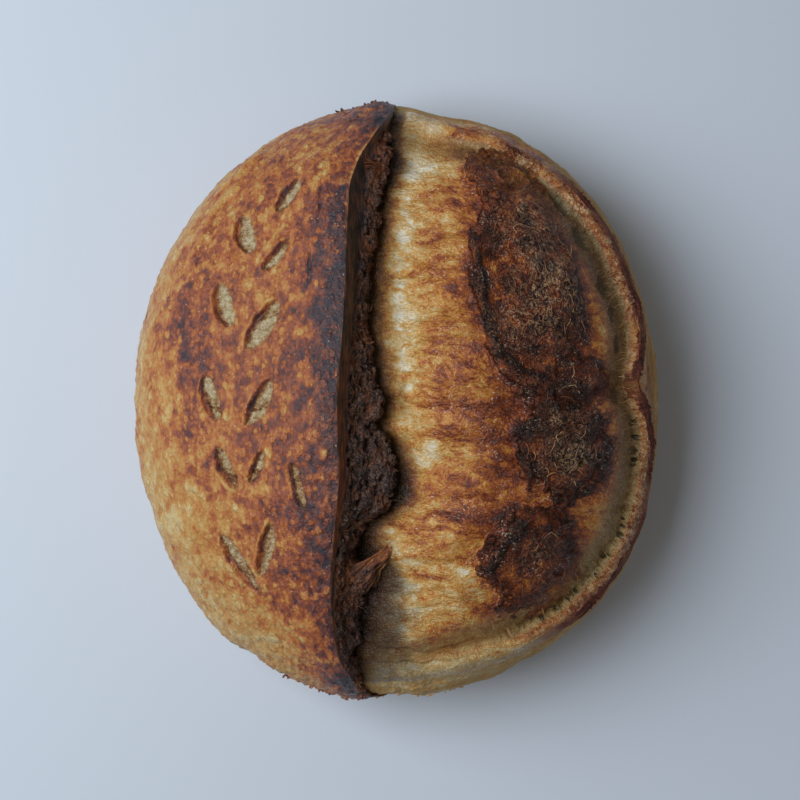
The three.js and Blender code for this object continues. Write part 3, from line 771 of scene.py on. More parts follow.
# adds nodes to a tree and wires values or sockets into them
class Bench:
    def __init__(self, tree):
        self.nodes, self.links = tree.nodes, tree.links

    def add(self, kind, inputs=None, **settings):
        node = self.nodes.new(kind)
        for key, value in settings.items():
            setattr(node, key, value)
        for key, value in (inputs or {}).items():
            self.plug(value, node.inputs[key])
        return node

    def plug(self, value, socket):
        if isinstance(value, bpy.types.NodeSocket):
            self.links.new(value, socket)
        else:
            socket.default_value = value

    def math(self, operation, a, b=0.0, clamp=False):
        return self.add("ShaderNodeMath", {0: a, 1: b}, operation=operation, use_clamp=clamp).outputs[0]

    def total(self, *values):
        result = values[0]
        for value in values[1:]:
            result = self.math("ADD", result, value)
        return result

    def times(self, *values):
        result = values[0]
        for value in values[1:]:
            result = self.math("MULTIPLY", result, value)
        return result

    def value(self, name):
        return self.add("ShaderNodeAttribute", attribute_name=name).outputs["Fac"]

    def vector(self, operation, a, b):
        second = "Scale" if operation == "SCALE" else 1
        return self.add("ShaderNodeVectorMath", {0: a, second: b}, operation=operation).outputs[0]

    # by three numbers, or by the same one each way
    def scaled(self, vector, scale):
        return self.vector("MULTIPLY", vector, scale if isinstance(scale, tuple) else (scale,) * 3)

    def noise(self, vector, detail=2.0, roughness=0.55, distortion=0.0, kind="Fac"):
        inputs = {"Vector": vector, "Scale": 1.0, "Detail": detail, "Roughness": roughness, "Distortion": distortion}
        return self.add("ShaderNodeTexNoise", inputs).outputs[kind]

    # noise around nought, so many units strong
    def grain(self, vector, scale, gain, **settings):
        fac = self.noise(self.scaled(vector, scale), **settings)
        return self.times(self.math("SUBTRACT", fac, 0.5), gain)

    # a vector of noise around nought, in each direction its own
    def wobble(self, vector, scale, amount):
        colour = self.noise(self.scaled(vector, scale), kind="Color")
        return self.vector("SCALE", self.vector("SUBTRACT", colour, (0.5, 0.5, 0.5)), amount)

    # a vector shaken sideways by noise of the given size
    def shaken(self, vector, size, amount):
        return self.vector("ADD", vector, self.wobble(vector, 1 / size, amount))

    def turned(self, vector, angle):
        inputs = {"Vector": vector, "Angle": angle}
        return self.add("ShaderNodeVectorRotate", inputs, rotation_type="Z_AXIS").outputs[0]

    def randomVector(self, least, most, seed):
        inputs = {0: least, 1: most, "Seed": seed}
        return self.add("FunctionNodeRandomValue", inputs, data_type="FLOAT_VECTOR").outputs[0]

    # thin threads along the level line of a noise
    def threads(self, vector, scale, width, detail=1.0):
        fac = self.noise(self.scaled(vector, scale), detail=detail)
        return self.between(self.math("ABSOLUTE", self.math("SUBTRACT", fac, 0.5)), width, width * 0.2)

    # scattered round spots: share of the cells that carry one
    def dots(self, vector, scale, radius, share):
        node = self.add("ShaderNodeTexVoronoi", {"Vector": self.scaled(vector, scale), "Scale": 1.0})
        chance = self.add("ShaderNodeSeparateColor", {0: node.outputs["Color"]})
        size = self.between(chance.outputs[0], 0.0, 1.0, (radius * 0.5, radius))
        near = self.between(self.math("SUBTRACT", node.outputs["Distance"], size), 0.06, -0.06)
        return self.times(near, self.math("LESS_THAN", chance.outputs[1], share))

    def between(self, value, low, high, to=(0.0, 1.0)):
        inputs = {"Value": value, "From Min": low, "From Max": high, "To Min": to[0], "To Max": to[1]}
        return self.add("ShaderNodeMapRange", inputs, interpolation_type="SMOOTHSTEP").outputs[0]

    def mix(self, factor, a, b):
        node = self.add("ShaderNodeMix", data_type="RGBA", clamp_factor=True)
        for value, socket in ((factor, 0), (a, 6), (b, 7)):
            self.plug(value, node.inputs[socket])
        return node.outputs[2]

    def ramp(self, value, stops):
        node = self.add("ShaderNodeValToRGB", {0: value})
        line = node.color_ramp
        for place, colour in stops[1:-1]:
            line.elements.new(place).color = albedo(colour)
        line.elements[0].position, line.elements[0].color = stops[0][0], albedo(stops[0][1])
        line.elements[-1].position, line.elements[-1].color = stops[-1][0], albedo(stops[-1][1])
        return node.outputs[0]

    # colour, height in mm and roughness into the material's own shader
    def finish(self, colour, height, rough, specular):
        shader = self.nodes["Principled BSDF"]
        bump = self.add("ShaderNodeBump", {"Height": height, "Strength": 1.0, "Distance": mm})
        self.plug(bump.outputs[0], shader.inputs["Normal"])
        self.plug(colour, shader.inputs["Base Color"])
        self.plug(rough, shader.inputs["Roughness"])
        self.plug(specular, shader.inputs["Specular IOR Level"])


def newMaterial(name):
    material = bpy.data.materials.new(name)
    material.use_nodes = True
    bench = Bench(material.node_tree)
    here = bench.scaled(bench.add("ShaderNodeTexCoord").outputs["Object"], 1 / mm)  # in mm
    return material, bench, here


crustFinish = {
    "tones": [(0.0, (206, 180, 126)), (0.18, (196, 154, 88)), (0.34, (188, 132, 66)), (0.48, (176, 102, 48)),
              (0.6, (148, 76, 44)), (0.74, (108, 56, 44)), (0.88, (68, 42, 46)), (1.0, (42, 33, 40))],
    "char": (46, 44, 54),
    "crumbTones": [(0.0, (226, 212, 178)), (0.24, (202, 180, 140)), (0.45, (178, 142, 96)), (0.66, (142, 92, 54)),
                   (1.0, (70, 42, 30))],
    "speck": (224, 200, 168),
    "roughness": (0.26, 0.5),
    "specular": 0.42,
}


def crustMaterial(name, look):
    material, bench, here = newMaterial(name)
    shaken = bench.shaken(here, 2.2, 1.6)
    unbroken = bench.value("blister")
    wide = bench.times(bench.dots(bench.shaken(here, 4.0, 4.0), (0.2, 0.14, 0.2), 0.44, 0.5), unbroken)
    large = bench.times(bench.dots(shaken, (0.32, 0.24, 0.32), 0.44, 0.6), unbroken)
    small = bench.times(bench.dots(shaken, (0.62, 0.46, 0.62), 0.42, 0.5), unbroken)
    veins = bench.threads(bench.shaken(here, 3.0, 3.0), (0.2, 0.15, 0.2), 0.03, detail=3.0)
    tone = bench.total(
        bench.value("bake"),
        bench.grain(here, (0.22, 0.17, 0.22), 0.85),
        bench.grain(here, (0.7, 0.5, 0.7), 0.4, detail=1.0),
        bench.grain(here, (2.4, 2.0, 2.4), 0.26), bench.times(veins, unbroken, 0.05),
        bench.times(wide, -0.11), bench.times(large, -0.18), bench.times(small, -0.11))
    colour = bench.ramp(tone, look["tones"])
    fine = bench.noise(bench.scaled(here, 1.1), detail=3.0)
    soot = bench.times(bench.value("char"), bench.between(fine, 0.38, 0.56), 0.9)
    colour = bench.mix(soot, colour, albedo(look["char"]))
    # pale specks scattered over the crust: painted sheen points
    speck = bench.dots(here, 0.42, 0.12, 0.35)
    colour = bench.mix(bench.times(speck, 0.6), colour, albedo(look["speck"]))
    crumbTone = bench.total(bench.value("bake"), bench.grain(here, (0.5, 0.7, 0.5), 1.2),
                            bench.grain(here, (1.5, 1.8, 1.5), 1.1, detail=3.0))
    colour = bench.mix(bench.value("crumb"), colour, bench.ramp(crumbTone, look["crumbTones"]))
    height = bench.total(
        bench.grain(here, (0.5, 0.4, 0.5), 0.7), bench.grain(here, (1.4, 1.1, 1.4), 0.3),
        bench.grain(here, 3.2, 0.2), bench.times(wide, 0.2), bench.times(large, 0.22),
        bench.times(small, 0.13),
        bench.times(bench.value("crumb"), bench.grain(here, 1.6, 1.2, detail=3.0)))
    bench.finish(colour, height, bench.between(fine, 0.35, 0.65, look["roughness"]), look["specular"])
    return material


fleshFinish = {
    "tones": [(0.3, (184, 118, 66)), (0.5, (150, 86, 50)), (0.66, (124, 74, 54)), (0.82, (94, 66, 56)),
              (0.94, (68, 51, 48)), (1.06, (44, 36, 38))],
    "fibre": (156, 122, 100),
    "hole": (24, 18, 20),
    "char": (50, 49, 56),
    "roughness": (0.42, 0.58),
    "specular": 0.36,
}


def fleshMaterial(name, look):
    material, bench, here = newMaterial(name)
    torn = bench.value("torn")
    shaken = bench.shaken(here, 2.6, 2.4)
    web = bench.math("MAXIMUM", bench.threads(shaken, (0.45, 0.34, 0.45), 0.08),
                     bench.threads(bench.shaken(here, 1.1, 1.2), (0.8, 0.6, 0.8), 0.1))
    streak = bench.times(bench.grain(here, (1.1, 0.1, 1.1), 1.4), bench.between(torn, 0.0, 1.0, (1.0, 0.35)))
    tone = bench.total(bench.value("bake"), streak, bench.times(torn, bench.total(
        bench.grain(here, (0.3, 0.24, 0.3), 0.9), bench.grain(here, (0.9, 0.7, 0.9), 0.8))))
    colour = bench.ramp(tone, look["tones"])
    fine = bench.noise(bench.scaled(here, 1.4), detail=3.0)
    soot = bench.times(bench.value("char"), bench.between(fine, 0.34, 0.56), 0.85)
    colour = bench.mix(soot, colour, albedo(look["char"]))
    lit = bench.times(web, torn, bench.between(fine, 0.42, 0.6), 0.6)
    colour = bench.mix(lit, colour, albedo(look["fibre"]))
    # near-black holes in the torn flesh: painted shade inside them
    holes = bench.times(bench.dots(bench.shaken(here, 2.0, 1.4), (0.34, 0.26, 0.34), 0.3, 0.4), torn)
    colour = bench.mix(bench.times(holes, 0.7), colour, albedo(look["hole"]))
    height = bench.total(
        bench.times(web, torn, 0.3), bench.times(streak, 0.4), bench.times(holes, -1.2),
        bench.times(torn, bench.total(
            bench.grain(here, (0.5, 0.4, 0.5), 2.0), bench.grain(here, 1.1, 0.8))),
        bench.grain(here, 3.5, 0.2))
    bench.finish(colour, height, bench.between(torn, 0.0, 1.0, look["roughness"]), look["specular"])
    return material


bloomFinish = {
    "tones": [(0.0, (234, 222, 198)), (0.12, (222, 196, 148)), (0.25, (212, 166, 92)), (0.38, (200, 132, 54)),
              (0.5, (172, 92, 36)), (0.63, (126, 58, 30)), (0.76, (92, 42, 28)), (0.9, (58, 31, 25)),
              (1.0, (36, 22, 21))],
    "crumbTones": [(0.0, (232, 200, 160)), (0.4, (208, 150, 96)), (0.7, (168, 98, 60)), (1.0, (116, 64, 46))],
    "crestTones": [(0.0, (226, 176, 148)), (0.35, (180, 112, 86)), (0.65, (134, 76, 60)), (1.0, (84, 52, 46))],
    "fibre": (208, 168, 126),
    "emberFibre": (172, 108, 70),
    "olive": (172, 152, 106),
    "oliveDark": (100, 76, 40),
    # painted shadow of the ear: the share of red, green and blue left deep in it
    "paintedEarShadow": (0.12, 0.085, 0.055),  # what is left of red, green and blue deep under the ear
    # hollows and pits: colours of painted shade inside them
    "hollow": (120, 108, 82),
    "pit": (58, 52, 38),
    "flour": (180, 156, 114),
    "speck": (240, 228, 204),
    # mm inside the rim at which each band comes in and goes out
    "oliveBand": (5.5, 10.0),
    "crumbBand": ((0.9, 1.5), (5.2, 4.2)),
    "crestBand": ((1.5, 0.9), (-3.9, -2.8)),
    "roughness": (0.16, 0.44),
    "mattRoughness": 0.7,
    "specular": (0.55, 0.08),
}


def bloomMaterial(name, look):
    material, bench, here = newMaterial(name)
    flow = bench.add("ShaderNodeAttribute", attribute_name="flow").outputs["Vector"]
    flowing = bench.shaken(bench.shaken(flow, 8.0, 7.0), 1.8, 1.3)
    island, outer, torn = bench.value("island"), bench.value("flour"), bench.value("torn")
    swirling = bench.shaken(bench.shaken(flow, 9.0, 3.0), 2.2, 1.0)
    onIsland = bench.math("MAXIMUM", bench.threads(swirling, (0.15, 0.6, 0.17), 0.07),
                          bench.threads(bench.turned(swirling, -0.12), (0.2, 0.8, 0.24), 0.07))
    threads = bench.times(onIsland, island)
    fineThreads = bench.times(bench.threads(bench.shaken(flowing, 1.4, 1.3), (0.6, 1.2, 0.6), 0.1), island)
    dashes = bench.noise(bench.scaled(swirling, (0.26, 0.62, 0.26)), detail=1.0)
    dashes = bench.times(bench.between(dashes, 0.545, 0.59), island)
    unburnt = bench.math("SUBTRACT", 1.0, island)
    bundle = bench.between(bench.noise(bench.scaled(flowing, (0.045, 0.2, 0.1))), 0.42, 0.6)
    strokes = bench.math("MAXIMUM", bench.threads(bench.turned(flowing, 0.2), (0.07, 0.85, 0.2), 0.05, detail=2.0),
                         bench.threads(bench.turned(flowing, -0.12), (0.1, 1.2, 0.3), 0.06))
    strokes = bench.times(strokes, unburnt, bench.total(0.2, bench.times(bundle, 0.8)))
    paler = bench.times(bench.threads(bench.turned(flowing, 0.05), (0.12, 1.4, 0.3), 0.07), unburnt)
    tone = bench.total(
        bench.value("bake"),
        bench.times(torn, bench.total(
            bench.grain(flowing, (0.12, 0.4, 0.2), 0.3),
            bench.grain(bench.turned(flowing, 0.4), (0.3, 0.7, 0.5), 0.24),
            bench.grain(bench.turned(flowing, -0.5), (0.6, 1.3, 0.7), 0.18), bench.times(bundle, unburnt, 0.06),
            bench.times(threads, -0.1), bench.times(fineThreads, -0.08), bench.times(strokes, 0.08),
            bench.times(paler, -0.08))),
        bench.grain(bench.shaken(here, 1.2, 0.8), (1.0, 1.4, 1.0), 0.3, detail=1.0),
        bench.grain(here, (0.2, 0.26, 0.3), 0.5))
    colour = bench.ramp(tone, look["tones"])
    fine = bench.noise(bench.scaled(here, 1.2), detail=3.0)
    lit = bench.times(bench.math("MAXIMUM", bench.times(threads, 0.5), dashes), bench.between(fine, 0.4, 0.54),
                      bench.total(0.26, bench.times(bench.value("ash"), 0.6)))
    colour = bench.mix(lit, colour, bench.mix(bench.value("ash"), albedo(look["emberFibre"]), albedo(look["fibre"])))

    # painted glints: pale specks in patches
    glint = bench.noise(bench.scaled(bench.shaken(here, 1.2, 1.0), (1.1, 1.5, 1.1)), detail=1.0)
    glint = bench.between(glint, 0.62, 0.7)
    patch = bench.between(bench.noise(bench.scaled(here, (0.11, 0.09, 0.11))), 0.46, 0.6)
    colour = bench.mix(bench.times(glint, patch, torn, 0.5), colour, albedo(look["speck"]))

    # olive membrane in the groove, with rays towards the rim; the same olive tints the painted shade beside the
    # cleft; hollows and a comb of pits, darkened with painted shade
    rim = bench.add("ShaderNodeAttribute", attribute_name="rim").outputs["Vector"]
    _, inside, widened = bench.add("ShaderNodeSeparateXYZ", {0: rim}).outputs
    radial = bench.shaken(rim, 2.5, 1.2)
    rays = bench.times(bench.threads(radial, (0.6, 0.2, 1.0), 0.08), bench.value("crumbly"))
    oliveTone = bench.total(
        bench.grain(radial, (0.5, 0.2, 1.0), 1.2), bench.grain(here, 0.5, 1.4), bench.value("bake"),
        bench.between(inside, *look["oliveBand"], (-0.2, 0.3)))
    membrane = bench.mix(oliveTone, albedo(look["olive"]), albedo(look["oliveDark"]))
    membrane = bench.mix(bench.times(rays, 0.4), membrane, albedo(look["fibre"]))
    colour = bench.mix(bench.times(bench.value("olive"), 0.82), colour, membrane)
    colour = bench.mix(bench.times(bench.value("hollow"), 0.8), colour, albedo(look["hollow"]))
    pits = bench.times(bench.dots(bench.shaken(rim, 2.0, 0.6), (0.37, 0.2, 1.0), 0.44, 0.85), bench.value("comb"))
    colour = bench.mix(bench.times(pits, 0.9), colour, albedo(look["pit"]))

    # the rim's torn crumb and its dark crest, both with ragged edges
    shift = bench.total(bench.grain(rim, (0.09, 0.04, 0.1), 4.0), bench.grain(rim, (0.3, 0.1, 1.0), 3.0),
                        bench.grain(rim, (1.2, 0.3, 1.0), 3.2))
    shifted = bench.total(inside, shift, bench.times(widened, -1.0))
    crumb, crest = (bench.times(bench.between(shifted, *look[band][0]), bench.between(shifted, *look[band][1]),
                                bench.value(strength))
                    for band, strength in (("crumbBand", "crumbly"), ("crestBand", "crest")))
    crumbTone = bench.total(0.5, bench.grain(rim, (0.7, 0.35, 1.0), 1.2), bench.grain(here, 0.4, 2.2),
                            bench.grain(here, 1.4, 1.4))
    colour = bench.mix(crumb, colour, bench.ramp(crumbTone, look["crumbTones"]))
    crestTone = bench.total(
        bench.between(shifted, 1.5, -0.6, (0.5, 0.76)), bench.times(widened, 0.06),
        bench.grain(rim, (0.14, 0.9, 1.0), 1.4), bench.grain(here, 0.9, 1.2))
    colour = bench.mix(crest, colour, bench.ramp(crestTone, look["crestTones"]))

    # the ear's painted shadow, and flour on the flank
    colour = bench.mix(bench.value("paintedEarShadow"), colour, bench.scaled(colour, look["paintedEarShadow"]))
    dust = bench.between(bench.noise(bench.scaled(here, (0.3, 0.3, 0.8)), detail=4.0), 0.36, 0.56)
    flour = bench.times(outer, bench.math("SUBTRACT", 1.0, crest), bench.total(bench.times(dust, 0.4), 0.26))
    colour = bench.mix(flour, colour, albedo(look["flour"]))
    height = bench.total(
        bench.times(torn, bench.total(
            bench.grain(flowing, (0.12, 0.5, 0.2), 0.7),
            bench.grain(bench.turned(flowing, 0.4), (0.4, 1.1, 0.5), 0.35),
            bench.times(threads, 0.3), bench.times(fineThreads, 0.2), bench.times(strokes, -0.05),
            bench.times(paler, 0.12), bench.times(dashes, 0.3), bench.grain(flowing, (0.5, 2.2, 0.8), 0.2))),
        bench.times(pits, -1.2), bench.times(rays, bench.value("olive"), 0.4),
        bench.times(crumb, bench.grain(here, 1.2, 1.4)),
        bench.grain(here, 0.8, 0.5), bench.grain(here, 2.6, 0.26))
    dry = bench.math("MAXIMUM", outer, crest)
    matt = bench.math("MAXIMUM", dry, bench.times(island, 0.5))
    rough = bench.math("MAXIMUM", bench.between(fine, 0.35, 0.65, look["roughness"]),
                       bench.times(dry, look["mattRoughness"]))
    bench.finish(colour, height, rough, bench.between(matt, 0.0, 1.0, look["specular"]))
    return material


threadFinish = {
    "ember": [(0.0, (226, 196, 148)), (0.3, (214, 160, 92)), (0.55, (180, 110, 60)), (0.8, (142, 84, 54)),
              (1.0, (96, 62, 50))],
    "ash": [(0.0, (236, 210, 168)), (0.4, (210, 164, 116)), (0.7, (186, 134, 94)), (1.0, (120, 84, 66))],
    "roughness": 0.5,
}


def threadMaterial(name, look):
    material, bench, here = newMaterial(name)
    tone = bench.total(bench.value("bake"), bench.grain(here, 0.4, 1.3))
    shader = bench.nodes["Principled BSDF"]
    colour = bench.mix(bench.value("ash"), bench.ramp(tone, look["ember"]), bench.ramp(tone, look["ash"]))
    bench.plug(colour, shader.inputs["Base Color"])
    shader.inputs["Roughness"].default_value = look["roughness"]
    return material


crustSkin = crustMaterial("bakedCrust", crustFinish)
fleshSkin = fleshMaterial("charredFlesh", fleshFinish)
bloomSkin = bloomMaterial("openCrumbCrust", bloomFinish)
skinOf = {"scoredCrust": crustSkin, "tornEar": fleshSkin, "openBloom": bloomSkin, "rimAndSide": bloomSkin}
for name, material in skinOf.items():
    pieces[name].data.materials.append(material)
print("loaf: skins done")


def newTree(name, inputs):
    tree = bpy.data.node_groups.new(name, "GeometryNodeTree")
    tree.interface.new_socket("Geometry", in_out="INPUT", socket_type="NodeSocketGeometry")
    for label, kind in inputs.items():
        tree.interface.new_socket(label, in_out="INPUT", socket_type="NodeSocket" + kind)
    tree.interface.new_socket("Geometry", in_out="OUTPUT", socket_type="NodeSocketGeometry")
    bench = Bench(tree)
    return tree, bench, bench.add("NodeGroupInput").outputs


# every tree ends in real geometry that carries its material
def endTree(bench, given, geometry):
    whole = bench.add("GeometryNodeRealizeInstances", {"Geometry": geometry}).outputs[0]
    skinned = bench.add("GeometryNodeSetMaterial", {"Geometry": whole, "Material": given["Material"]}).outputs[0]
    bench.add("NodeGroupOutput", {"Geometry": skinned})


# wobbles curves and thickens them into tapered tubes
def thicken(bench, given, curves):
    place = bench.add("GeometryNodeInputPosition").outputs[0]
    offset = bench.wobble(place, 420, given["Wobble"])
    bent = bench.add("GeometryNodeSetPosition", {"Geometry": curves, "Offset": offset}).outputs[0]
    way = bench.add("GeometryNodeSplineParameter").outputs["Factor"]
    taper = bench.between(way, 0.3, 1.0, (1.0, 0.35))
    ring = bench.add("GeometryNodeCurvePrimitiveCircle", {"Resolution": 3, "Radius": 1.0}).outputs[0]
    tubes = bench.add("GeometryNodeCurveToMesh", {"Curve": bent, "Profile Curve": ring, "Fill Caps": True,
                                                 "Scale": bench.times(taper, given["Thickness"])}).outputs[0]
    endTree(bench, given, bench.add("GeometryNodeSetShadeSmooth", {"Geometry": tubes}).outputs[0])


# fibres that grow on a surface where its "fuzz" is high, along its "heading" give or take the spread
def fuzzTree(name):
    tree, bench, given = newTree(name, {
        "Density": "Float", "Length": "Float", "Thickness": "Float", "Wobble": "Float",
        "Rise": "Float", "Spread": "Float", "Seed": "Int", "Material": "Material"})
    fuzz, heading = (bench.add("GeometryNodeInputNamedAttribute", {"Name": label}, data_type="FLOAT").outputs[0]
                     for label in ("fuzz", "heading"))
    points = bench.add("GeometryNodeDistributePointsOnFaces", {
        "Mesh": given["Geometry"], "Density": bench.times(fuzz, given["Density"]), "Seed": given["Seed"]})
    least = bench.add("ShaderNodeCombineXYZ", {
        0: -0.3, 1: bench.times(given["Rise"], -1.0), 2: bench.times(given["Spread"], -1.0)})
    most = bench.add("ShaderNodeCombineXYZ", {0: 0.3, 1: 0.1, 2: given["Spread"]})
    tilt = bench.randomVector(least.outputs[0], most.outputs[0], given["Seed"])
    alongHeading = bench.add("ShaderNodeCombineXYZ", {2: heading}).outputs[0]
    facing, tilted = (bench.add("FunctionNodeEulerToRotation", {"Euler": euler}).outputs[0]
                      for euler in (alongHeading, tilt))
    upright = bench.add("FunctionNodeAlignRotationToVector", {
        "Rotation": facing, "Vector": points.outputs["Normal"]}, axis="Z")
    turned = bench.add("FunctionNodeRotateRotation", {
        "Rotation": upright.outputs[0], "Rotate By": tilted}, rotation_space="LOCAL")
    longer = bench.add("FunctionNodeRandomValue", {2: 0.5, 3: 1.5, "Seed": 7}, data_type="FLOAT")
    curl = bench.add("GeometryNodeCurveQuadraticBezier", {
        "Resolution": 5, "Start": (-0.5, -0.05, 0), "Middle": (0.0, 0.3, 0.22), "End": (0.5, -0.05, 0.04)})
    fibres = bench.add("GeometryNodeInstanceOnPoints", {
        "Points": points.outputs["Points"], "Instance": curl.outputs[0], "Rotation": turned.outputs[0],
        "Scale": bench.times(longer.outputs[1], given["Length"])})
    thicken(bench, given, bench.add("GeometryNodeRealizeInstances", {"Geometry": fibres.outputs[0]}).outputs[0])
    return tree


# strands that follow the edges of the mesh they are given
def strandTree(name):
    tree, bench, given = newTree(name, {
        "Points": "Int", "Thickness": "Float", "Wobble": "Float", "Material": "Material"})
    curves = bench.add("GeometryNodeMeshToCurve", {"Mesh": given["Geometry"]}).outputs[0]
    even = bench.add("GeometryNodeResampleCurve", {"Curve": curves, "Count": given["Points"]}).outputs[0]
    thicken(bench, given, even)
    return tree


# runs a tree on a source object and keeps the result as a plain mesh
def grow(name, source, tree, values):
    modifier = source.modifiers.new("grow", "NODES")
    modifier.node_group = tree
    sockets = {s.name: s.identifier for s in tree.interface.items_tree if s.in_out == "INPUT"}
    for label, value in values.items():
        modifier[sockets[label]] = value
    ready = source.evaluated_get(bpy.context.evaluated_depsgraph_get())
    mesh = bpy.data.meshes.new_from_object(ready)
    source.modifiers.remove(modifier)
    bpy.data.objects.remove(source)
    mesh.name = name
    piece = bpy.data.objects.new(name, mesh)
    bpy.context.collection.objects.link(piece)
    pieces[name] = piece
    print("loaf:", name, len(mesh.polygons), "faces")


# an open sheet of the skin's outer side, carrying where fibres grow and how baked they are
def skinSheet(name, first, last, **values):
    points = skin[2:-2, first:last]
    n, m = points.shape[:2]
    index = np.arange(n * m).reshape(n, m)
    quads = np.stack([index[:-1, :-1], index[:-1, 1:], index[1:, 1:], index[1:, :-1]], -1).reshape(-1, 4)
    sheet = addMesh(name, points.reshape(-1, 3), quads, np.zeros((0, 3), int))
    giveFields(sheet, {key: np.broadcast_to(value, gx.shape)[2:-2, first:last].ravel()
                       for key, value in values.items()})
    return sheet


# a mesh of loose edges: lines is an array of strands, points and x, y, z in mm
def strandLines(name, lines, bake, ash):
    n, m = lines.shape[:2]
    index = np.arange(n * m).reshape(n, m)
    mesh = bpy.data.meshes.new(name)
    edges = np.stack([index[:, :-1], index[:, 1:]], -1).reshape(-1, 2)
    mesh.from_pydata((lines * mm).reshape(-1, 3).tolist(), edges.tolist(), [])
    source = bpy.data.objects.new(name, mesh)
    bpy.context.collection.objects.link(source)
    giveFields(source, {"bake": np.repeat(bake, m), "ash": np.repeat(ash, m)})
    return source


threadSkin = threadMaterial("bakedThread", threadFinish)
earFuzz = {"Density": 0.12e6, "Length": 3.0 * mm, "Thickness": 0.13 * mm, "Wobble": 2.6 * mm, "Rise": 0.8,
           "Spread": math.pi, "Seed": 3, "Material": threadSkin}
wisps = ramp(layeredNoise(gx / 7, gy / 7, gz / 7, seed=131), -0.2, 0.5)
fleshFuzz = band("flesh") * torn * wisps * (0.35 + 0.65 * (1 - ramp(rowY, 10, 60)) * ramp(rowY, -100, -80))
earSheet = skinSheet("earSheet", bands["flesh"][0] + 14, bands["flesh"][1] - 18, fuzz=fleshFuzz,
                     bake=0.84 + 0.2 * lumps, heading=1.5, ash=0.35 + 0.4 * noise(gx / 9, gy / 9, seed=135))
grow("earFuzz", earSheet, fuzzTree("curledFibres"), earFuzz)

islandCurls = {"Density": 0.05e6, "Length": 5.0 * mm, "Thickness": 0.15 * mm, "Wobble": 1.6 * mm, "Rise": 0.03,
               "Spread": 0.3, "Seed": 5, "Material": threadSkin}
paleWisps = ramp(layeredNoise(gx / 6, gy / 6, gz / 6, seed=132), -0.5, 0.5)
paleShare = np.clip(ash, 0, 1)
islandFuzz = island * (0.06 + 0.94 * paleShare ** 1.5) * (0.2 + 0.8 * paleWisps) * (1 - groove) * (1 - burnt / 1.2)
islandSheet = skinSheet("islandSheet", bands["bloom"][0] + 60, bands["bloom"][1], fuzz=islandFuzz,
                        heading=heading, bake=0.66 + 0.2 * mottle[1], ash=paleShare)
grow("islandCurls", islandSheet, fuzzTree("lyingFibres"), islandCurls)

strayThreads = {
    # from x, y to x, y, scatter at either end, lift, how many, how baked, how pale
    "hanging": [(-13, -64, -2, -55, 2.6, 1.0, 1.6, 7, 0.62, 0.0), (-8, -70, -2, -55, 2.6, 1.0, 1.6, 7, 0.5, 0.0),
                (-9, -66, -5, -60, 4.0, 3.0, 1.8, 6, 0.4, 0.3), (-13, 90, -4, 87.5, 2.2, 1.4, 1.2, 34, 0.85, 0.0)],
    # pale loops: centre, radius, where the arc starts and ends in degrees
    "loops": [(68.7, -11.6, 2.0, 200, 470), (63.2, 10.5, 3.2, -80, 80), (64.7, 0.5, 5.2, 30, 150),
              (59.5, -36, 9, 40, 150), (56, -38, 1.6, 60, 300), (34.3, -85.7, 3.0, 0, 360),
              (45.5, 84.6, 5.4, -100, 40), (62, -14, 2.4, 100, 300), (54, -27, 2.2, 10, 190),
              (70, -30, 3.4, 180, 290), (58, -52, 2.6, 20, 160), (50, 24, 5.5, 20, 130), (60, 34, 6.5, -60, 60),
              (61, 58, 5.0, -80, 40), (48, 62, 4.4, 100, 220)],
    "loopBake": 0.25,
    # threads across the comb of pits: how many, between which directions, from and to in mm inside the rim
    "comb": {"count": 26, "angles": (-64, 30), "reach": (8.2, 3.4), "lift": 0.4, "bake": 0.35, "ash": 0.6},
    "steps": 7,
    "inputs": {"Points": 12, "Thickness": 0.13 * mm, "Wobble": 2.2 * mm, "Material": threadSkin},
}
dice = np.random.default_rng(11)


# height of the loaf at each place, the upper skin where two lie over each other
def skinHeight(x, y):
    tops = skin[2:-2, bands["flesh"][0] + 30:bands["side"][1]].reshape(-1, 3)
    nearest = [np.argmin((tops[:, 0] - a) ** 2 + (tops[:, 1] - b) ** 2 - 0.02 * tops[:, 2]) for a, b in zip(x, y)]
    return tops[nearest, 2]


def bridging(starts, ends, lift):
    t = np.linspace(0, 1, strayThreads["steps"])[None, :]
    startZ, endZ = (skinHeight(*side.T)[:, None] for side in (starts, ends))
    plan = starts[:, None] + (ends - starts)[:, None] * t[..., None]
    plan = plan + np.cumsum(dice.normal(size=(len(starts), strayThreads["steps"], 2)) * 0.22, axis=1)
    high = startZ + (endZ - startZ) * t + lift * dice.uniform(0.3, 1.2, (len(starts), 1)) * 4 * t * (1 - t)
    return np.concatenate([plan, high[..., None]], -1)


lines, bakes, ashes = [], [], []
for x0, y0, x1, y1, scatter0, scatter1, lift, count, tone, pale in strayThreads["hanging"]:
    starts, ends = (dice.normal(size=(count, 2)) * scatter * 0.6 + at
                    for at, scatter in (((x0, y0), scatter0), ((x1, y1), scatter1)))
    lines.append(bridging(starts, ends, lift))
    bakes.append(np.full(count, tone))
    ashes.append(np.full(count, pale))
for x0, y0, radius, start, end in strayThreads["loops"]:
    turn = np.radians(np.linspace(start, end, strayThreads["steps"]))
    wobbling = radius * (1 + 0.12 * dice.normal(size=strayThreads["steps"]))
    x, y = x0 + wobbling * np.cos(turn), y0 + wobbling * np.sin(turn)
    lines.append(np.stack([x, y, skinHeight(x, y) + 0.1], -1)[None])
    bakes.append(np.array([strayThreads["loopBake"]]))
    ashes.append(np.array([1.0]))
combThreads = strayThreads["comb"]
turn = np.radians(dice.uniform(*combThreads["angles"], combThreads["count"]))[:, None]
plan = np.hstack([loaf["halfWidth"] * np.cos(turn), loaf["halfLength"] * np.sin(turn)])
rimAt = rimShare(*plan.T)[:, None]
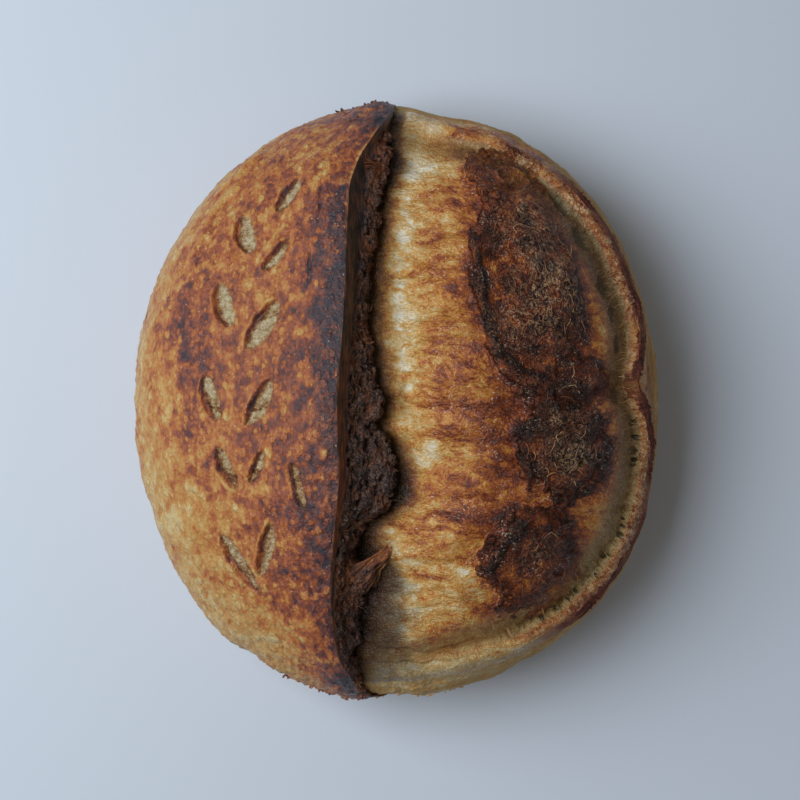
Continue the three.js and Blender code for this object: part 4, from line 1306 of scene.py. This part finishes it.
outerEnd, innerEnd = (
    plan * (rimAt - (r + dice.normal(size=turn.shape) * 1.3) / loaf["halfWidth"]) + dice.normal(size=plan.shape) * 0.9
    for r in combThreads["reach"][::-1])
lines.append(bridging(innerEnd, outerEnd, combThreads["lift"]))
bakes.append(np.full(len(turn), combThreads["bake"]))
ashes.append(np.full(len(turn), combThreads["ash"]))
grow("strayThreads", strandLines("strayLines", np.concatenate(lines), np.concatenate(bakes), np.concatenate(ashes)),
     strandTree("strayTree"), strayThreads["inputs"])


# the web of dough still hanging between the ear and the bloom: two corners at either end, then sizes in mm
web = {
    "root": ((-17.5, -61.0), (-9.5, -71.0)),
    "tip": ((-2.6, -54.0), (-1.2, -55.0)),
    "lift": 0.8,
    "fold": 1.5,
    "thick": 0.5,
    "gap": 0.2,
    "grid": (40, 26),
    "bake": 0.4,
    "torn": 0.4,
}


# a closed sheet from a grid of points on its upper side, in mm
def closedSheet(name, top, thick):
    n, m = top.shape[:2]
    index = np.arange(n * m).reshape(n, m)
    upper = np.stack([index[:-1, :-1], index[1:, :-1], index[1:, 1:], index[:-1, 1:]], -1).reshape(-1, 4)
    edge = np.concatenate([index[:-1, 0], index[-1, :-1], index[:0:-1, -1], index[0, :0:-1]])
    border = np.stack([np.roll(edge, -1), edge, edge + n * m, np.roll(edge, -1) + n * m], -1)
    quads = np.concatenate([upper, upper[:, ::-1] + n * m, border])
    ax, ay = top[1, 0, :2] - top[0, 0, :2], top[0, 1, :2] - top[0, 0, :2]
    if ax[0] * ay[1] - ax[1] * ay[0] < 0:
        quads = quads[:, ::-1]
    points = np.concatenate([top.reshape(-1, 3), top.reshape(-1, 3) - (0, 0, thick)])
    return addMesh(name, points, quads, np.zeros((0, 3), int))


u, w = np.meshgrid(*(np.linspace(0, 1, count) for count in web["grid"]), indexing="ij")
rootSide, tipSide = (np.array(web[end][0]) + w[..., None] * np.subtract(*web[end][::-1]) for end in ("root", "tip"))
eased = (u ** 0.6)[..., None]
plan = rootSide * (1 - eased) + tipSide * eased
sway = np.stack([noise(w * 2.2, u * 3.2, 0.5, seed=141), noise(w * 2.2, u * 3.2, 0.5, seed=144)], -1)
plan = plan + (2.6 - 1.6 * eased) * sway
under = skinHeight(*plan.reshape(-1, 2).T).reshape(u.shape)
hanging = under[:1] * (1 - u) + under[-1:] * u + web["lift"] * np.sin(np.pi * u)
height = np.maximum(hanging, under + web["gap"])
height = height + web["fold"] * (1 - 0.6 * u) * layeredNoise(w * 2.6, u * 3.0, 0.5, seed=142, layers=3)
tornWeb = closedSheet("tornWeb", np.concatenate([plan, height[..., None]], -1), web["thick"])
webBake = web["bake"] + 0.26 * (1 - u) + 0.4 * layeredNoise(w * 4, u * 4, 0.5, seed=143, layers=3)
giveFields(tornWeb, {"bake": np.tile(webBake.ravel(), 2), "torn": np.full(2 * u.size, web["torn"])})
tornWeb.data.shade_smooth()
tornWeb.data.materials.append(fleshSkin)
pieces["tornWeb"] = tornWeb


# crumpled flakes along the curve they are given, scattered up and down from it
def flakeTree(name):
    tree, bench, given = newTree(name, {
        "Amount": "Int", "Size": "Float", "Scatter": "Float", "Seed": "Int", "Material": "Material"})
    curve = bench.add("GeometryNodeMeshToCurve", {"Mesh": given["Geometry"]}).outputs[0]
    row = bench.add("GeometryNodeCurveToPoints", {"Curve": curve, "Count": given["Amount"]}).outputs[0]
    upDown = bench.vector("SCALE", bench.randomVector((-0.06, -0.02, -1), (0.06, 0.02, 1), 5), given["Scatter"])
    points = bench.add("GeometryNodeSetPosition", {"Geometry": row, "Offset": upDown}).outputs[0]
    ball = bench.add("GeometryNodeMeshIcoSphere", {"Radius": 0.5, "Subdivisions": 1}).outputs["Mesh"]
    dents = bench.wobble(bench.add("GeometryNodeInputPosition").outputs[0], 2.2, 1.4)
    crumpled = bench.add("GeometryNodeSetPosition", {"Geometry": ball, "Offset": dents}).outputs[0]
    spin = bench.randomVector((0, 0, 0), (6.28, 6.28, 6.28), given["Seed"])
    # least and most of a flake's length, width and thickness
    size = bench.vector("SCALE", bench.randomVector((0.5, 0.4, 0.25), (1.4, 1.0, 0.6), 3), given["Size"])
    flakes = bench.add("GeometryNodeInstanceOnPoints", {
        "Points": points, "Instance": crumpled, "Rotation": spin, "Scale": size}).outputs[0]
    endTree(bench, given, flakes)
    return tree


# front or back, x from and to in mm, how baked, and the tree's own inputs
flakeRows = {
    "backFlakes": {"side": 1, "x": (-24, -3), "bake": 0.7, "inputs": {
        "Amount": 36, "Size": 2.0 * mm, "Scatter": 8 * mm, "Seed": 2, "Material": fleshSkin}},
    "frontFlakes": {"side": -1, "x": (-44, -12), "bake": 0.6, "inputs": {
        "Amount": 54, "Size": 2.2 * mm, "Scatter": 8 * mm, "Seed": 4, "Material": fleshSkin}},
    "frontCrumbs": {"side": -1, "x": (-9, 26), "bake": 0.2, "inputs": {
        "Amount": 40, "Size": 1.8 * mm, "Scatter": 8 * mm, "Seed": 6, "Material": threadSkin}},
}
for name, row in flakeRows.items():
    x = np.linspace(*row["x"], 24)
    y = row["side"] * np.sqrt(1 - (x / loaf["halfWidth"]) ** 2) * loaf["halfLength"]
    swelling = 1 + sum(s * bellToward(planAngle(x, y), toward, wide) for toward, wide, s in loaf["swells"])
    line = np.stack([x * swelling, y * swelling, np.full(x.shape, loaf["bellyHeight"] + 2)], -1)
    source = strandLines(name + "Line", line[None], np.array([row["bake"]]), np.array([0.0]))
    grow(name, source, flakeTree(name + "Tree"), row["inputs"])

# metres, watts and linear colours
studio = {
    "cameraHeight": 0.8,
    "lens": 86.4,
    "aim": (0.0016, 0.0002),
    "window": {"at": (-0.8, 0.16, 1.05), "size": (0.9, 1.1), "power": 16.6, "colour": (0.89, 0.95, 1.0)},
    "sky": {"strength": 0.14, "colour": (1.0, 0.95, 0.88)},
    "floor": {"size": 3, "colour": (0.66, 0.72, 0.82, 1), "roughness": 0.55},
}

camera = bpy.data.objects.new("camera", bpy.data.cameras.new("camera"))
camera.data.lens = studio["lens"]
camera.data.sensor_width = 36
camera.location = (*studio["aim"], studio["cameraHeight"])
bpy.context.collection.objects.link(camera)
bpy.context.scene.camera = camera

window = bpy.data.lights.new("window", "AREA")
window.shape = "RECTANGLE"
window.size, window.size_y = studio["window"]["size"]
window.energy = studio["window"]["power"]
window.color = studio["window"]["colour"]
lamp = bpy.data.objects.new("window", window)
lamp.location = studio["window"]["at"]
lamp.rotation_euler = (-lamp.location).to_track_quat("-Z", "Y").to_euler()
bpy.context.collection.objects.link(lamp)

world = bpy.data.worlds.new("sky")
world.use_nodes = True
world.node_tree.nodes["Background"].inputs["Color"].default_value = (*studio["sky"]["colour"], 1)
world.node_tree.nodes["Background"].inputs["Strength"].default_value = studio["sky"]["strength"]
bpy.context.scene.world = world
bpy.context.scene.view_settings.view_transform = "Standard"

bpy.ops.mesh.primitive_plane_add(size=studio["floor"]["size"])
floor = bpy.context.object
floor.name = "floor"
stone = bpy.data.materials.new("paleFloor")
stone.use_nodes = True
shader = stone.node_tree.nodes["Principled BSDF"]
shader.inputs["Base Color"].default_value = studio["floor"]["colour"]
shader.inputs["Roughness"].default_value = studio["floor"]["roughness"]
floor.data.materials.append(stone)

for piece in pieces.values():
    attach(piece, "root")
    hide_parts("loaf")
